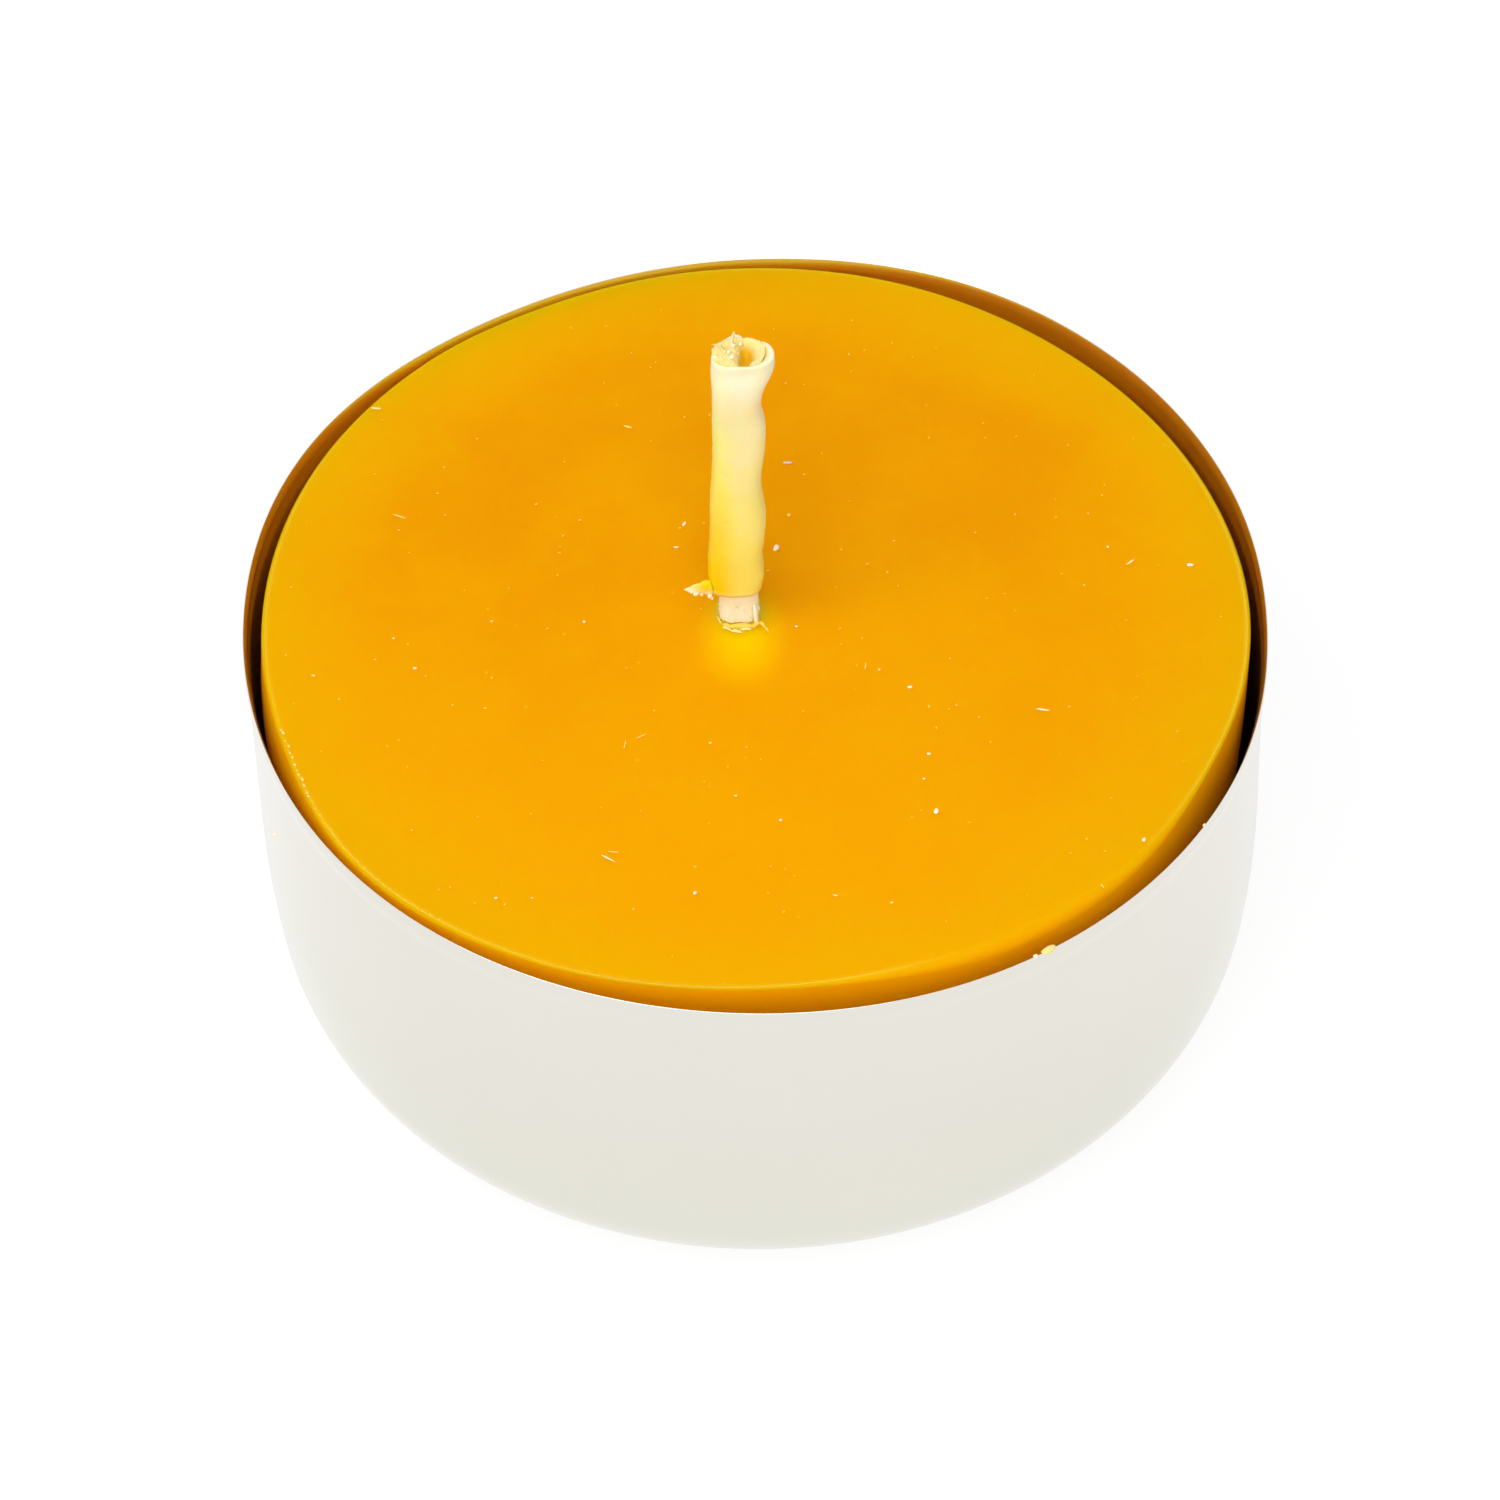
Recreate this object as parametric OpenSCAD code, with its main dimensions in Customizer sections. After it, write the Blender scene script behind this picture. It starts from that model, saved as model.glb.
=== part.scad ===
// Tea light candle: a thin pressed cup holds a cast wax puck, and a braided wick stands through the
// puck in a crimped metal sustainer. The wick keeps the wax coat that it was dipped in.
// All sizes are in millimetres. Z points up, and the origin is on the ground at the cup's centre.

/* [Cup] */
// Outer diameter of the cup at its rim
cup_d = 38; // [36:0.5:42]
// Height of the cup from the ground to its rim
cup_h = 16.7; // [15:0.1:20]
// Thickness of the pressed sheet
cup_wall = 0.15; // [0.12:0.01:0.25]
// Height of the knee below which the wall leans in more
knee_h = 6.2; // [5.2:0.1:8]
// How much the wall's radius shrinks from the rim down to the knee
cup_draft = 0.23; // [0.1:0.01:0.3]
// How much the wall's radius would shrink from the knee down to the ground
foot_lean = 0.77; // [0.5:0.01:1.2]
// Outer radius of the round corner between the wall and the base
cup_corner_r = 4.3; // [3.5:0.1:5]
// Height of the straight band left at the rim by the trimming
rim_band_h = 0.8; // [0.5:0.1:1.5]
// How far that band stands out from the wall below it
rim_band_step = 0.05; // [0.03:0.01:0.1]
// Width of the flat ring that the cup stands on
base_ring_w = 1.2; // [0.8:0.1:2.5]
// Width of the slope between that ring and the raised panel
panel_slope_w = 0.8; // [0.5:0.1:1.5]
// Height of the raised panel's underside above the ground
panel_rise = 0.5; // [0.3:0.05:0.8]

/* [Wax puck] */
// Gap between the centred puck and the cup's wall
puck_gap = 0.7; // [0.65:0.01:1.2]
// Depth of the puck's top below the rim
puck_drop = 0.2; // [0:0.1:2]
// Rounding of the puck's top edge
puck_edge_r = 0.4; // [0.2:0.1:1]
// How much the puck's lower corner radius stays under the cup's inner one
puck_corner_margin = 0.55; // [0.4:0.05:1]
// Sideways place of the puck in the cup
puck_shift_x = -0.32; // [-0.4:0.01:0.4]
// Front to back place of the puck in the cup
puck_shift_y = 0.46; // [-0.5:0.01:0.5]
// Height of the wax collar that grips the wick's foot
collar_h = 0.2; // [0.1:0.05:0.4]
// Width of that collar at the puck's top
collar_w = 0.55; // [0.3:0.05:1]

/* [Wick] */
// Width of the braid, seen from the front
wick_w = 1.5; // [1.2:0.05:2]
// Depth of the braid, front to back
wick_depth = 1.3; // [1:0.05:2]
// Length of the coated wick above the puck's top
wick_out = 13.65; // [8:0.05:20]
// How far the braid's cut end lies below the coat's lip
wick_sink = 0.75; // [0.4:0.05:1]
// Sideways place of the wick in the puck
wick_shift_x = -0.38; // [-1:0.01:1]
// Front to back place of the wick in the puck
wick_shift_y = 0.14; // [-1:0.01:1]
// Length along the wick in which a strand crosses over and returns
braid_pitch = 2.4; // [1.6:0.1:4]
// Depth of the valleys between the strands
braid_relief = 0.09; // [0.04:0.01:0.15]
// Gap between the braid and the bore or neck round it
wick_fit = 0.05; // [0.03:0.01:0.1]

/* [Wax coat of the wick] */
// Length of bare braid between the puck and the coat
bare_len = 1.7; // [0.8:0.1:4]
// Thickness of the coat at its lower end
coat_foot_t = 0.27; // [0.2:0.01:0.5]
// Thickness of the coat at half height
coat_mid_t = 0.18; // [0.12:0.01:0.4]
// Thickness of the coat at the waist under its head
coat_waist_t = 0.14; // [0.1:0.01:0.4]
// Thickness of the coat at its head
coat_head_t = 0.38; // [0.25:0.01:0.6]
// Height of the head
head_h = 1.2; // [0.8:0.1:2]
// Height of the waist below the head
waist_h = 1.6; // [1:0.1:2.5]
// How far the head leans to the right
head_lean = 0.2; // [0:0.02:0.35]
// Thickness of the head's lip round its open end
lip_t = 0.16; // [0.1:0.01:0.25]
// Gap between the braid and its coat
coat_fit = 0.02; // [0.01:0.005:0.03]
// Length of the wax flake that curls out at the coat's lower end
flake_len = 1.15; // [0.5:0.05:2]
// Thickness of that flake
flake_t = 0.36; // [0.2:0.02:0.5]

/* [Wick sustainer] */
// Diameter of the plate
plate_d = 12.5; // [10:0.5:15]
// Thickness of the tinned sheet
plate_t = 0.2; // [0.15:0.05:0.3]
// Height of the neck above the plate
neck_h = 3; // [2:0.5:6]
// Height of the round part of the neck, below its crimped part
neck_round_h = 1; // [0.7:0.1:1.5]
// Outer radius of the bend between the plate and the neck
neck_bend_r = 0.6; // [0.4:0.05:1]
// Gap between the sustainer and its pocket in the puck
pocket_gap = 0.25; // [0.15:0.05:0.5]

/* [Hidden] */
$fn = 120;
// A cut reaches this far past the face that it opens
reach = 1;

// Angles of the cup's wall away from upright, above and below its knee
draft_angle = atan(cup_draft / (cup_h - knee_h));
foot_angle = atan(foot_lean / knee_h);
// Radius of the outer wall at its knee, and where its foot's slope would meet the ground
knee_r = cup_d / 2 - rim_band_step - cup_draft;
cup_ground_r = knee_r - foot_lean;
rim_band_z = cup_h - rim_band_h;
// The band's lower edge flares out over this height
rim_flare_h = 2 * rim_band_step;
base_flat_r = corner_x(0, 0, cup_corner_r);
panel_r = base_flat_r - base_ring_w - panel_slope_w;
panel_top_z = panel_rise + cup_wall;

puck_top_z = cup_h - puck_drop;
puck_inset = cup_wall + puck_gap;
puck_corner_r = cup_corner_r - cup_wall - puck_corner_margin;
puck_place = [puck_shift_x, puck_shift_y, 0];

wick_place = puck_place + [wick_shift_x, wick_shift_y, 0];
wick_bottom_z = panel_top_z + wick_fit;
wick_top_z = puck_top_z + wick_out - wick_sink;
// Power of the curve that squares off the braid's section: 2 is an ellipse
wick_squareness = 3.4;
wick_sides = 24;
rings_in_a_pitch = 8;
strand_pairs = 4;
braid_rings = ceil((wick_top_z - wick_bottom_z) / braid_pitch * rings_in_a_pitch);
// Corner radius of bores and sleeves, as a share of the wick's half width
bore_corner_share = 0.45;
bore_corner_sides = 32;

coat_bottom_z = puck_top_z + bare_len;
coat_top_z = puck_top_z + wick_out;
head_z = coat_top_z - head_h;
waist_z = head_z - waist_h;
mid_z = (coat_bottom_z + waist_z) / 2;
coat_sides = 36;
// The coat thins by this share at its lower edge, its head's neck and its lip
coat_edge_share = 0.85;
head_neck_share = 0.8;
lip_share = 0.5;
// The head is widest at this share of its height, counted from the lip
head_wide_share = 0.55;
// Small sideways sway of the coat between its lower end and its waist
coat_sway = 0.04;
// Thickness of the coat over the braid by height
coat_thickness = [
    [coat_bottom_z, coat_foot_t * coat_edge_share],
    [coat_bottom_z + coat_foot_t, coat_foot_t],
    [(coat_bottom_z + mid_z) / 2, coat_foot_t],
    [mid_z, coat_mid_t],
    [(mid_z + waist_z) / 2, (coat_mid_t + coat_foot_t) / 2],
    [waist_z, coat_waist_t],
    [(waist_z + head_z) / 2, coat_waist_t],
    [head_z, coat_head_t * head_neck_share],
    [coat_top_z - head_h * head_wide_share, coat_head_t],
    [coat_top_z - lip_t, coat_head_t * head_neck_share],
    [coat_top_z, coat_head_t * lip_share]
];
// Lean of the coat to the right by height
coat_lean = [
    [coat_bottom_z, -coat_sway],
    [mid_z, 0],
    [(mid_z + waist_z) / 2, coat_sway],
    [waist_z, 0],
    [head_z, head_lean / 2],
    [coat_top_z - head_h * head_wide_share, head_lean],
    [coat_top_z, head_lean]
];
// The flake sticks out at this height, and spreads over this angle round the coat
flake_z = coat_bottom_z + flake_t / 2;
flake_spread = 18;
flake_top_z = coat_bottom_z + 2 * flake_t;
// The coat's rings lie closer together over the flake and the head
flake_rings = 8;
shaft_rings = 22;
head_rings = 8;
coat_heights = concat(
    steps(coat_bottom_z, flake_top_z, flake_rings),
    steps(flake_top_z, head_z, shaft_rings),
    steps(head_z, coat_top_z, head_rings),
    [coat_top_z]
);

// The round neck clears the braid's corners, which are rounded off inside its full diagonal
braid_corner_share = 0.9;
neck_inner_r = norm([wick_w, wick_depth]) / 2 * braid_corner_share + wick_fit;
neck_outer_r = neck_inner_r + plate_t;

// Radius at height z of a wall that lies inset behind the cup's outer one, below and above its knee
function foot_r(z, inset) = cup_ground_r + z * tan(foot_angle) - inset / cos(foot_angle);
function wall_r(z, inset) = knee_r + (z - knee_h) * tan(draft_angle) - inset / cos(draft_angle);

// Height of that wall's knee
function knee_z(inset) = knee_h
    + inset * (1 / cos(foot_angle) - 1 / cos(draft_angle)) / (tan(foot_angle) - tan(draft_angle));

// Centre of a corner circle that touches both that wall's foot and the level z
function corner_x(inset, z, corner_r) = foot_r(z + corner_r, inset) - corner_r / cos(foot_angle);

// Half section of a drafted round body between two heights, with rounded edges
module drafted_section(inset, low_z, high_z, low_r, high_r) {
    low_x = corner_x(inset, low_z, low_r);
    high_x = wall_r(high_z - high_r, inset) - high_r / cos(draft_angle);
    polygon([
        [0, low_z],
        [low_x, low_z],
        [low_x, low_z + low_r] + low_r * [cos(foot_angle), -sin(foot_angle)],
        [foot_r(knee_z(inset), inset), knee_z(inset)],
        [high_x, high_z - high_r] + high_r * [cos(draft_angle), -sin(draft_angle)],
        [high_x, high_z],
        [0, high_z]
    ]);
    translate([low_x, low_z + low_r])
        circle(r = low_r);
    if (high_r > 0)
        translate([high_x, high_z - high_r])
            circle(r = high_r);
}

// Half section inside the cup's outer face (inset 0) or its inner face (inset cup_wall)
module cup_side_section(inset, high_z) {
    drafted_section(inset, inset, high_z, cup_corner_r - inset, 0);
    polygon([
        [0, rim_band_z],
        [wall_r(rim_band_z, inset), rim_band_z],
        [cup_d / 2 - inset, rim_band_z + rim_flare_h],
        [cup_d / 2 - inset, high_z],
        [0, high_z]
    ]);
}

// Half section of what the raised panel takes from the space above low_z
module panel_section(low_z) {
    polygon([
        [0, -reach],
        [panel_r + panel_slope_w, -reach],
        [panel_r + panel_slope_w, low_z],
        [panel_r, low_z + panel_rise],
        [0, low_z + panel_rise]
    ]);
}

// Upright bar with the braid's outline, grown by grow on every side
module wick_bar(grow, height) {
    corner_r = wick_w / 2 * bore_corner_share + grow;
    half_w = wick_w / 2 + grow - corner_r;
    half_depth = wick_depth / 2 + grow - corner_r;
    linear_extrude(height = height) {
        square([2 * (half_w + corner_r), 2 * half_depth], center = true);
        square([2 * half_w, 2 * (half_depth + corner_r)], center = true);
        for (x = [-half_w, half_w])
            for (y = [-half_depth, half_depth])
                translate([x, y])
                    circle(r = corner_r, $fn = bore_corner_sides);
    }
}

// Even steps from low up to, and without, high
function steps(low, high, count) = [for (i = [0:count - 1]) low + (high - low) * i / count];

// Distance from the axis to the braid's outline, grown by grow on every side
function outline_r(angle, grow) = pow(
    pow(abs(cos(angle)) / (wick_w / 2 + grow), wick_squareness)
    + pow(abs(sin(angle)) / (wick_depth / 2 + grow), wick_squareness),
    -1 / wick_squareness
);

// Distance from the axis to the braid's surface, with a valley where strands cross under
function braid_r(angle, z) =
    let (
        turn = 360 * z / braid_pitch,
        crossing = sin(strand_pairs * angle + turn) * sin(strand_pairs * angle - turn)
    )
    outline_r(angle, 0) - braid_relief * (1 - crossing) / 2;

// Smooth hump that is 1 where x is 0
function hump(x) = exp(-x * x);

// Distance from the axis to the coat's surface, with the flake on its left
function coat_r(angle, z) =
    outline_r(angle, lookup(z, coat_thickness))
    + flake_len * hump((angle - 180) / flake_spread) * hump((z - flake_z) * 2 / flake_t);

// Triangles between neighbouring rings of points, from the last ring back to the first if closed
function skin_faces(ring_count, sides, closed) = [
    for (ring = [0:ring_count - (closed ? 1 : 2)])
        for (side = [0:sides - 1])
            let (
                next_ring = (ring + 1) % ring_count,
                next_side = (side + 1) % sides,
                low_near = ring * sides + side,
                low_far = ring * sides + next_side,
                high_near = next_ring * sides + side,
                high_far = next_ring * sides + next_side
            )
            each [[low_near, high_near, low_far], [low_far, high_near, high_far]]
];

module cup() {
    color("silver")
        rotate_extrude()
            difference() {
                cup_side_section(0, cup_h);
                panel_section(0);
                difference() {
                    cup_side_section(cup_wall, cup_h + reach);
                    panel_section(cup_wall);
                }
            }
}

module wax_puck() {
    neck_pocket_r = neck_outer_r + pocket_gap;
    plate_pocket_r = plate_d / 2 + pocket_gap;
    color("orange")
        difference() {
            union() {
                translate(puck_place)
                    rotate_extrude()
                        drafted_section(puck_inset, panel_top_z, puck_top_z, puck_corner_r, puck_edge_r);
                translate(wick_place + [0, 0, puck_top_z])
                    cylinder(h = collar_h, r1 = wick_w / 2 + collar_w, r2 = wick_w / 2 + collar_w / 2);
            }
            translate(wick_place + [0, 0, panel_top_z - reach]) {
                cylinder(h = reach + plate_t + pocket_gap, r = plate_pocket_r);
                cylinder(h = reach + neck_h + pocket_gap, r = neck_pocket_r);
                wick_bar(wick_fit, cup_h + 2 * reach);
            }
        }
}

module wick() {
    ring_step = (wick_top_z - wick_bottom_z) / braid_rings;
    ring_points = [
        for (ring = [0:braid_rings])
            for (side = [0:wick_sides - 1])
                let (
                    angle = 360 * side / wick_sides,
                    z = wick_bottom_z + ring * ring_step,
                    r = braid_r(angle, z)
                )
                [r * cos(angle), r * sin(angle), z]
    ];
    bottom_centre = len(ring_points);
    top_centre = bottom_centre + 1;
    last_ring = braid_rings * wick_sides;
    end_faces = [
        for (side = [0:wick_sides - 1])
            let (next = (side + 1) % wick_sides)
            each [
                [bottom_centre, side, next],
                [top_centre, last_ring + next, last_ring + side]
            ]
    ];
    color("ivory")
        translate(wick_place)
            polyhedron(
                points = concat(ring_points, [[0, 0, wick_bottom_z], [0, 0, wick_top_z]]),
                faces = concat(skin_faces(braid_rings + 1, wick_sides, false), end_faces)
            );
}

module wick_wax_coat() {
    outer_points = [
        for (z = coat_heights)
            for (side = [0:coat_sides - 1])
                let (angle = 360 * side / coat_sides, r = coat_r(angle, z))
                [lookup(z, coat_lean) + r * cos(angle), r * sin(angle), z]
    ];
    // Each row of the inside, from the lip down: height, growth over the braid, lean
    inner_rows = [
        [coat_top_z, coat_head_t * lip_share - lip_t, head_lean],
        [wick_top_z, coat_fit, 0],
        [coat_bottom_z, coat_fit, 0]
    ];
    inner_points = [
        for (row = inner_rows)
            for (side = [0:coat_sides - 1])
                let (angle = 360 * side / coat_sides, r = outline_r(angle, row[1]))
                [row[2] + r * cos(angle), r * sin(angle), row[0]]
    ];
    ring_count = len(coat_heights) + len(inner_rows);
    color("khaki")
        translate(wick_place)
            polyhedron(
                points = concat(outer_points, inner_points),
                faces = skin_faces(ring_count, coat_sides, true)
            );
}

module wick_sustainer() {
    neck_turn_r = neck_bend_r - plate_t;
    color("gainsboro")
        translate(wick_place) {
            translate([0, 0, panel_top_z])
                rotate_extrude()
                    difference() {
                        union() {
                            translate([neck_inner_r, 0])
                                square([plate_d / 2 - neck_inner_r, plate_t]);
                            translate([neck_inner_r, 0])
                                square([plate_t, neck_round_h]);
                            translate([neck_outer_r, plate_t])
                                square(neck_turn_r);
                        }
                        translate([neck_outer_r + neck_turn_r, plate_t + neck_turn_r])
                            circle(r = neck_turn_r);
                    }
            translate([0, 0, panel_top_z + neck_round_h - plate_t])
                difference() {
                    wick_bar(wick_fit + plate_t, neck_h - neck_round_h + plate_t);
                    translate([0, 0, -reach])
                        wick_bar(wick_fit, neck_h + 2 * reach);
                }
        }
}

cup();
wax_puck();
wick();
wick_wax_coat();
wick_sustainer();
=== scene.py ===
"""Looks of the tea light candle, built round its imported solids.

A pressed aluminium cup holds a cast beeswax puck. A braided cotton wick stands in the puck and keeps the
wax coat that it was dipped in, open at its head. Lengths below are in millimetres and angles in degrees
from +X, counter-clockwise from above. The camera looks from the front, which is -Y.
"""
import math
import random

import bpy
import numpy as np
from mathutils import Matrix, Vector, noise


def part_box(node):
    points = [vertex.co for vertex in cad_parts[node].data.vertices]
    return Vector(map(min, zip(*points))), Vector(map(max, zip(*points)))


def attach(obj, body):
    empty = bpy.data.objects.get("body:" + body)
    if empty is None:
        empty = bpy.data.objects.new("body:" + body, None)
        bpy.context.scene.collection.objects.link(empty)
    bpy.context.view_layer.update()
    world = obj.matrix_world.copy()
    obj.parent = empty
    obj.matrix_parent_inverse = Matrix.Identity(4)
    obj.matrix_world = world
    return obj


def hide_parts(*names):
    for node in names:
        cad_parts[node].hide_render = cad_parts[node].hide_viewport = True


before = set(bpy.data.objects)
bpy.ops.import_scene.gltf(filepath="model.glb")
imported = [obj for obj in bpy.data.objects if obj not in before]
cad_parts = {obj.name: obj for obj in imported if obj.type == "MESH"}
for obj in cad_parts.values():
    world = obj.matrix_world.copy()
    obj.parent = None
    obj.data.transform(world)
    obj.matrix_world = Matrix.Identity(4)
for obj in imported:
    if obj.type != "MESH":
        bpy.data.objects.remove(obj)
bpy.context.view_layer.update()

MM = 0.001


def box_in_mm(name):
    """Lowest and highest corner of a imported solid."""
    return [np.array(corner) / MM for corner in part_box(name)]


_, cup_high = box_in_mm("cup")
puck_low, puck_high = box_in_mm("wax_puck")
wick_low, wick_high = box_in_mm("wick")
coat_low, coat_high = box_in_mm("wick_wax_coat")

# Cup
RIM_R, _, RIM_Z = cup_high
WALL = 0.15
# Band left at the rim by the trimming, and the soft step down from it
BAND_H = 0.8
BAND_STEP = 0.05
BAND_BLEND = 0.5
BAND_ROUNDING = 1.8
# The wall leans in a little down to its knee, and more below it
DRAFT = 0.23
KNEE_Z = 6.2
KNEE_R = RIM_R - BAND_STEP - DRAFT
KNEE_ROUNDING = 44
FOOT_LEAN = 0.77
CORNER_R = 4.3
# Raised panel of the base, inside the flat ring that the cup stands on
PANEL_R = 12.15
PANEL_SLOPE = 0.8
PANEL_RISE = 0.5
PANEL_ROUNDING = 0.4
# The trimmed rim thins over this height to this thickness
RIM_TAPER = 0.4
RIM_EDGE = 0.03
CUP_SIDES = 360
# How far the rim stands out of round, by angle
CUP_ROUND = [
    (0, -0.3), (20, -0.18), (45, 0.08), (65, 0.25), (90, -0.02), (120, -0.24), (150, 0.17), (180, -0.04),
    (220, 0), (260, -0.07), (305, 0.12), (335, -0.02),
]

# Puck
PUCK_X, PUCK_Y, _ = (puck_low + puck_high) / 2
PUCK_R = (puck_high - puck_low)[0] / 2
PUCK_LOW_Z = puck_low[2]
COLLAR_H = 0.2
PUCK_TOP_Z = puck_high[2] - COLLAR_H
PUCK_INSET = 0.85
PUCK_CLEARANCE = 0.04
PUCK_CORNER_R = 3.6
PUCK_SIDES = 360
# Room in the puck for the sustainer's plate and neck, and the flat underside next to it
POCKET_R = 6.5
POCKET_TOP_Z = 1.1
NECK_R = 1.5
NECK_TOP_Z = 3.9
UNDERSIDE_W = 1.5
# How far the wax reaches into the wick, which it soaks
WAX_GRIP = 0.1
# Height of the one ring between the ends of the wick's bore
BORE_MIDDLE_Z = 12
# The cup and the puck's side are true circles below the first height, and out of round from the second
ROUND_FROM_Z = 3
ROUND_FULL_Z = 15
# Line at which the puck's flat top ends: how far it stands out of round, by angle
PUCK_LINE = [
    (0, 0.18), (20, 0.0), (45, -0.1), (78, 0.07), (105, -0.05), (150, -0.21), (180, -0.28), (200, -0.15),
    (220, 0.38), (245, 0.22), (275, -0.12), (300, -0.09), (320, 0.17), (335, 0.15), (346, 0.22),
]
# Rounding outside that line, by angle
PUCK_EDGE = [
    (0, 0.15), (90, 0.16), (180, 0.16), (225, 0.13), (280, 0.15), (300, 0.5), (315, 0.4), (330, 0.15),
]
# Strength of the thin ridge that the mould left on that line, and of its pale burr with a painted highlight,
# by angle
PUCK_RIDGE = [
    (0, 0.9), (20, 0.5), (40, 0), (90, 0.3), (140, 0), (180, 0.6), (205, 0.4), (215, 1), (240, 0.9),
    (262, 1), (280, 0.8), (292, 0.1), (318, 0), (330, 0.5), (345, 1),
]
# Height of that ridge, and how far round the edge's quarter turn it stands
RIDGE_H = 0.03
RIDGE_LEVEL = 84
# The side is fuller here than the top's line, up to a little below the top
BULGE_ANGLE = 200
BULGE_SPREAD = 20
BULGE = 0.28
BULGE_FADE = 2

# Wick
WICK_X, WICK_Y, _ = (wick_low + wick_high) / 2
WICK_LOW_Z = wick_low[2]
WICK_W = 1.5
WICK_DEPTH = 1.3
# An outline is an ellipse at 2, and nearer a rectangle the higher this is
SQUARENESS = 3.4
OPENING_SQUARENESS = 2.2
# Height in which the braid's strands go round once, where the braid ends, and the step between its rings
PITCH = 2.4
BRAID_TOP_Z = 28.9
BRAID_STEP = 0.1
CUT_END_FIBRES = 44
FOOT_FIBRES = 30

# Coat
COAT_LOW_Z = coat_low[2]
COAT_TOP_Z = coat_high[2]
FIT = 0.02
# Height at which the coat's head starts, and of the floor of its open end
HEAD_Z = 28.4
PIT_Z = 29
# Rounding of the coat's lip, and the turns over it at which rings lie
LIP_ROUND = 0.09
LIP_TURNS = (30, 60, 90, 120, 150, 180)
# How far the coat's opening stands off from the wick at its right
OPENING_ROOM = 0.3
# Left and right outline of the coat by height over its lower edge, from the wick's axis
COAT_LEFT = [
    (0, -1.08), (0.5, -1.11), (2.5, -1.04), (4, -1), (5.2, -0.92), (8.2, -0.85), (10.1, -0.84), (10.9, -0.88),
    (11.5, -0.93), (11.95, -0.8),
]
COAT_RIGHT = [
    (0, 0.86), (0.5, 0.95), (1.5, 0.9), (2.5, 0.98), (3.7, 1.02), (5.1, 0.88), (7.3, 1.04), (8.1, 1.06),
    (8.9, 0.93), (9.6, 0.93), (10.3, 1.05), (10.9, 1.3), (11.4, 1.41), (11.95, 1.3),
]
# Half depth of the coat by height over its lower edge
COAT_DEPTH = [(0, 0.87), (3.6, 0.84), (6.8, 0.82), (9, 0.78), (10.9, 0.88), (11.5, 0.88), (11.95, 0.8)]
# Outline of the coat's head by angle, from a point HEAD_SHIFT to the right of the wick's axis
HEAD_SHIFT = 0.25
HEAD_LINE = [
    (0, 1.17), (17, 1.09), (33, 0.93), (75, 0.74), (98, 0.83), (134, 0.83), (157, 0.92), (180, 1.1),
    (211, 1.08), (254, 0.8), (286, 0.79), (328, 1.04),
]
# How far the lip lies under the coat's highest point, by angle
LIP_DROP = [
    (0, 0.2), (28, 0.12), (52, 0.42), (80, 0.2), (100, 0.05), (125, 0.16), (155, 0.3), (185, 0.32),
    (225, 0.24), (270, 0.2), (315, 0.22),
]
# Lumps and hollows of the frayed cut end, from the wick's axis: x, y, rise, size
FRAY = [
    (0.42, 0.0, -0.55, 0.32), (0.3, -0.4, -0.25, 0.22), (0.38, 0.35, -0.35, 0.2), (0.1, 0.12, 0.14, 0.13),
    (-0.06, -0.12, 0.14, 0.13), (-0.18, 0.08, -0.16, 0.09), (-0.3, 0.35, -0.16, 0.12),
    (-0.3, -0.12, 0.08, 0.14), (-0.62, 0.15, 0.1, 0.16), (-0.6, -0.2, 0.06, 0.16),
]
FRAY_Z = 29.94
FRAY_LIMIT_Z = COAT_TOP_Z - 0.03


def smooth_lookup(table, x, period=None):
    """Value at x of the smooth curve through a table's (place, value) rows."""
    places, values = np.array(table, float).T
    if period:
        places = np.concatenate((places[-2:] - period, places, places[:2] + period))
        values = np.concatenate((values[-2:], values, values[:2]))
        x = np.asarray(x) % period
    slopes = np.gradient(values, places)
    x = np.clip(x, places[0], places[-1])
    right = np.clip(np.searchsorted(places, x), 1, len(places) - 1)
    left = right - 1
    width = places[right] - places[left]
    t = (x - places[left]) / width
    rise = width * (slopes[left] * t * (1 - t) ** 2 - slopes[right] * t * t * (1 - t))
    return values[left] * (1 + 2 * t) * (1 - t) ** 2 + values[right] * t * t * (3 - 2 * t) + rise


def smooth_step(low, high, x):
    """0 at low, 1 at high, and a smooth change between."""
    t = np.clip((np.asarray(x, float) - low) / (high - low), 0, 1)
    return t * t * (3 - 2 * t)


def hump(x):
    """1 where x is 0, and a smooth fall on both sides."""
    return np.exp(-np.square(x))


def rough(points, size, seed=0):
    """Smooth random values from -1 to 1 at points, with bumps of a size in millimetres."""
    shape = np.shape(points)[:-1]
    flat = np.reshape(points, (-1, 3)) / size + seed * 17.3
    return np.array([noise.noise(Vector(p)) for p in flat]).reshape(shape)


def turns(sides):
    """Angles of the corners of a ring, in degrees."""
    return np.arange(sides) * 360 / sides


def ring(centre_x, centre_y, radius, z, angles):
    """Points of one ring. Radius and height are numbers, or one value for each angle."""
    radians = np.radians(angles)
    x = centre_x + radius * np.cos(radians)
    y = centre_y + radius * np.sin(radians)
    return np.stack(np.broadcast_arrays(x, y, z), -1)


def skin(rings, start_pole=None, end_pole=None, closed=False):
    """Points and faces of a skin over rings. Its outside is on the right of the way that they run."""
    rings = np.asarray(rings, float)
    count, sides = rings.shape[:2]
    points = rings.reshape(-1, 3)
    here = np.arange(sides)
    after = (here + 1) % sides
    faces = []
    for index in range(count if closed else count - 1):
        low = index * sides
        high = (index + 1) % count * sides
        faces += np.stack((low + here, low + after, high + after, high + here), 1).tolist()
    if start_pole is not None:
        faces += [(len(points), b, a) for a, b in zip(here, after)]
        points = np.vstack((points, [start_pole]))
    if end_pole is not None:
        last = (count - 1) * sides
        faces += [(len(points), last + a, last + b) for a, b in zip(here, after)]
        points = np.vstack((points, [end_pole]))
    return points, faces


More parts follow.
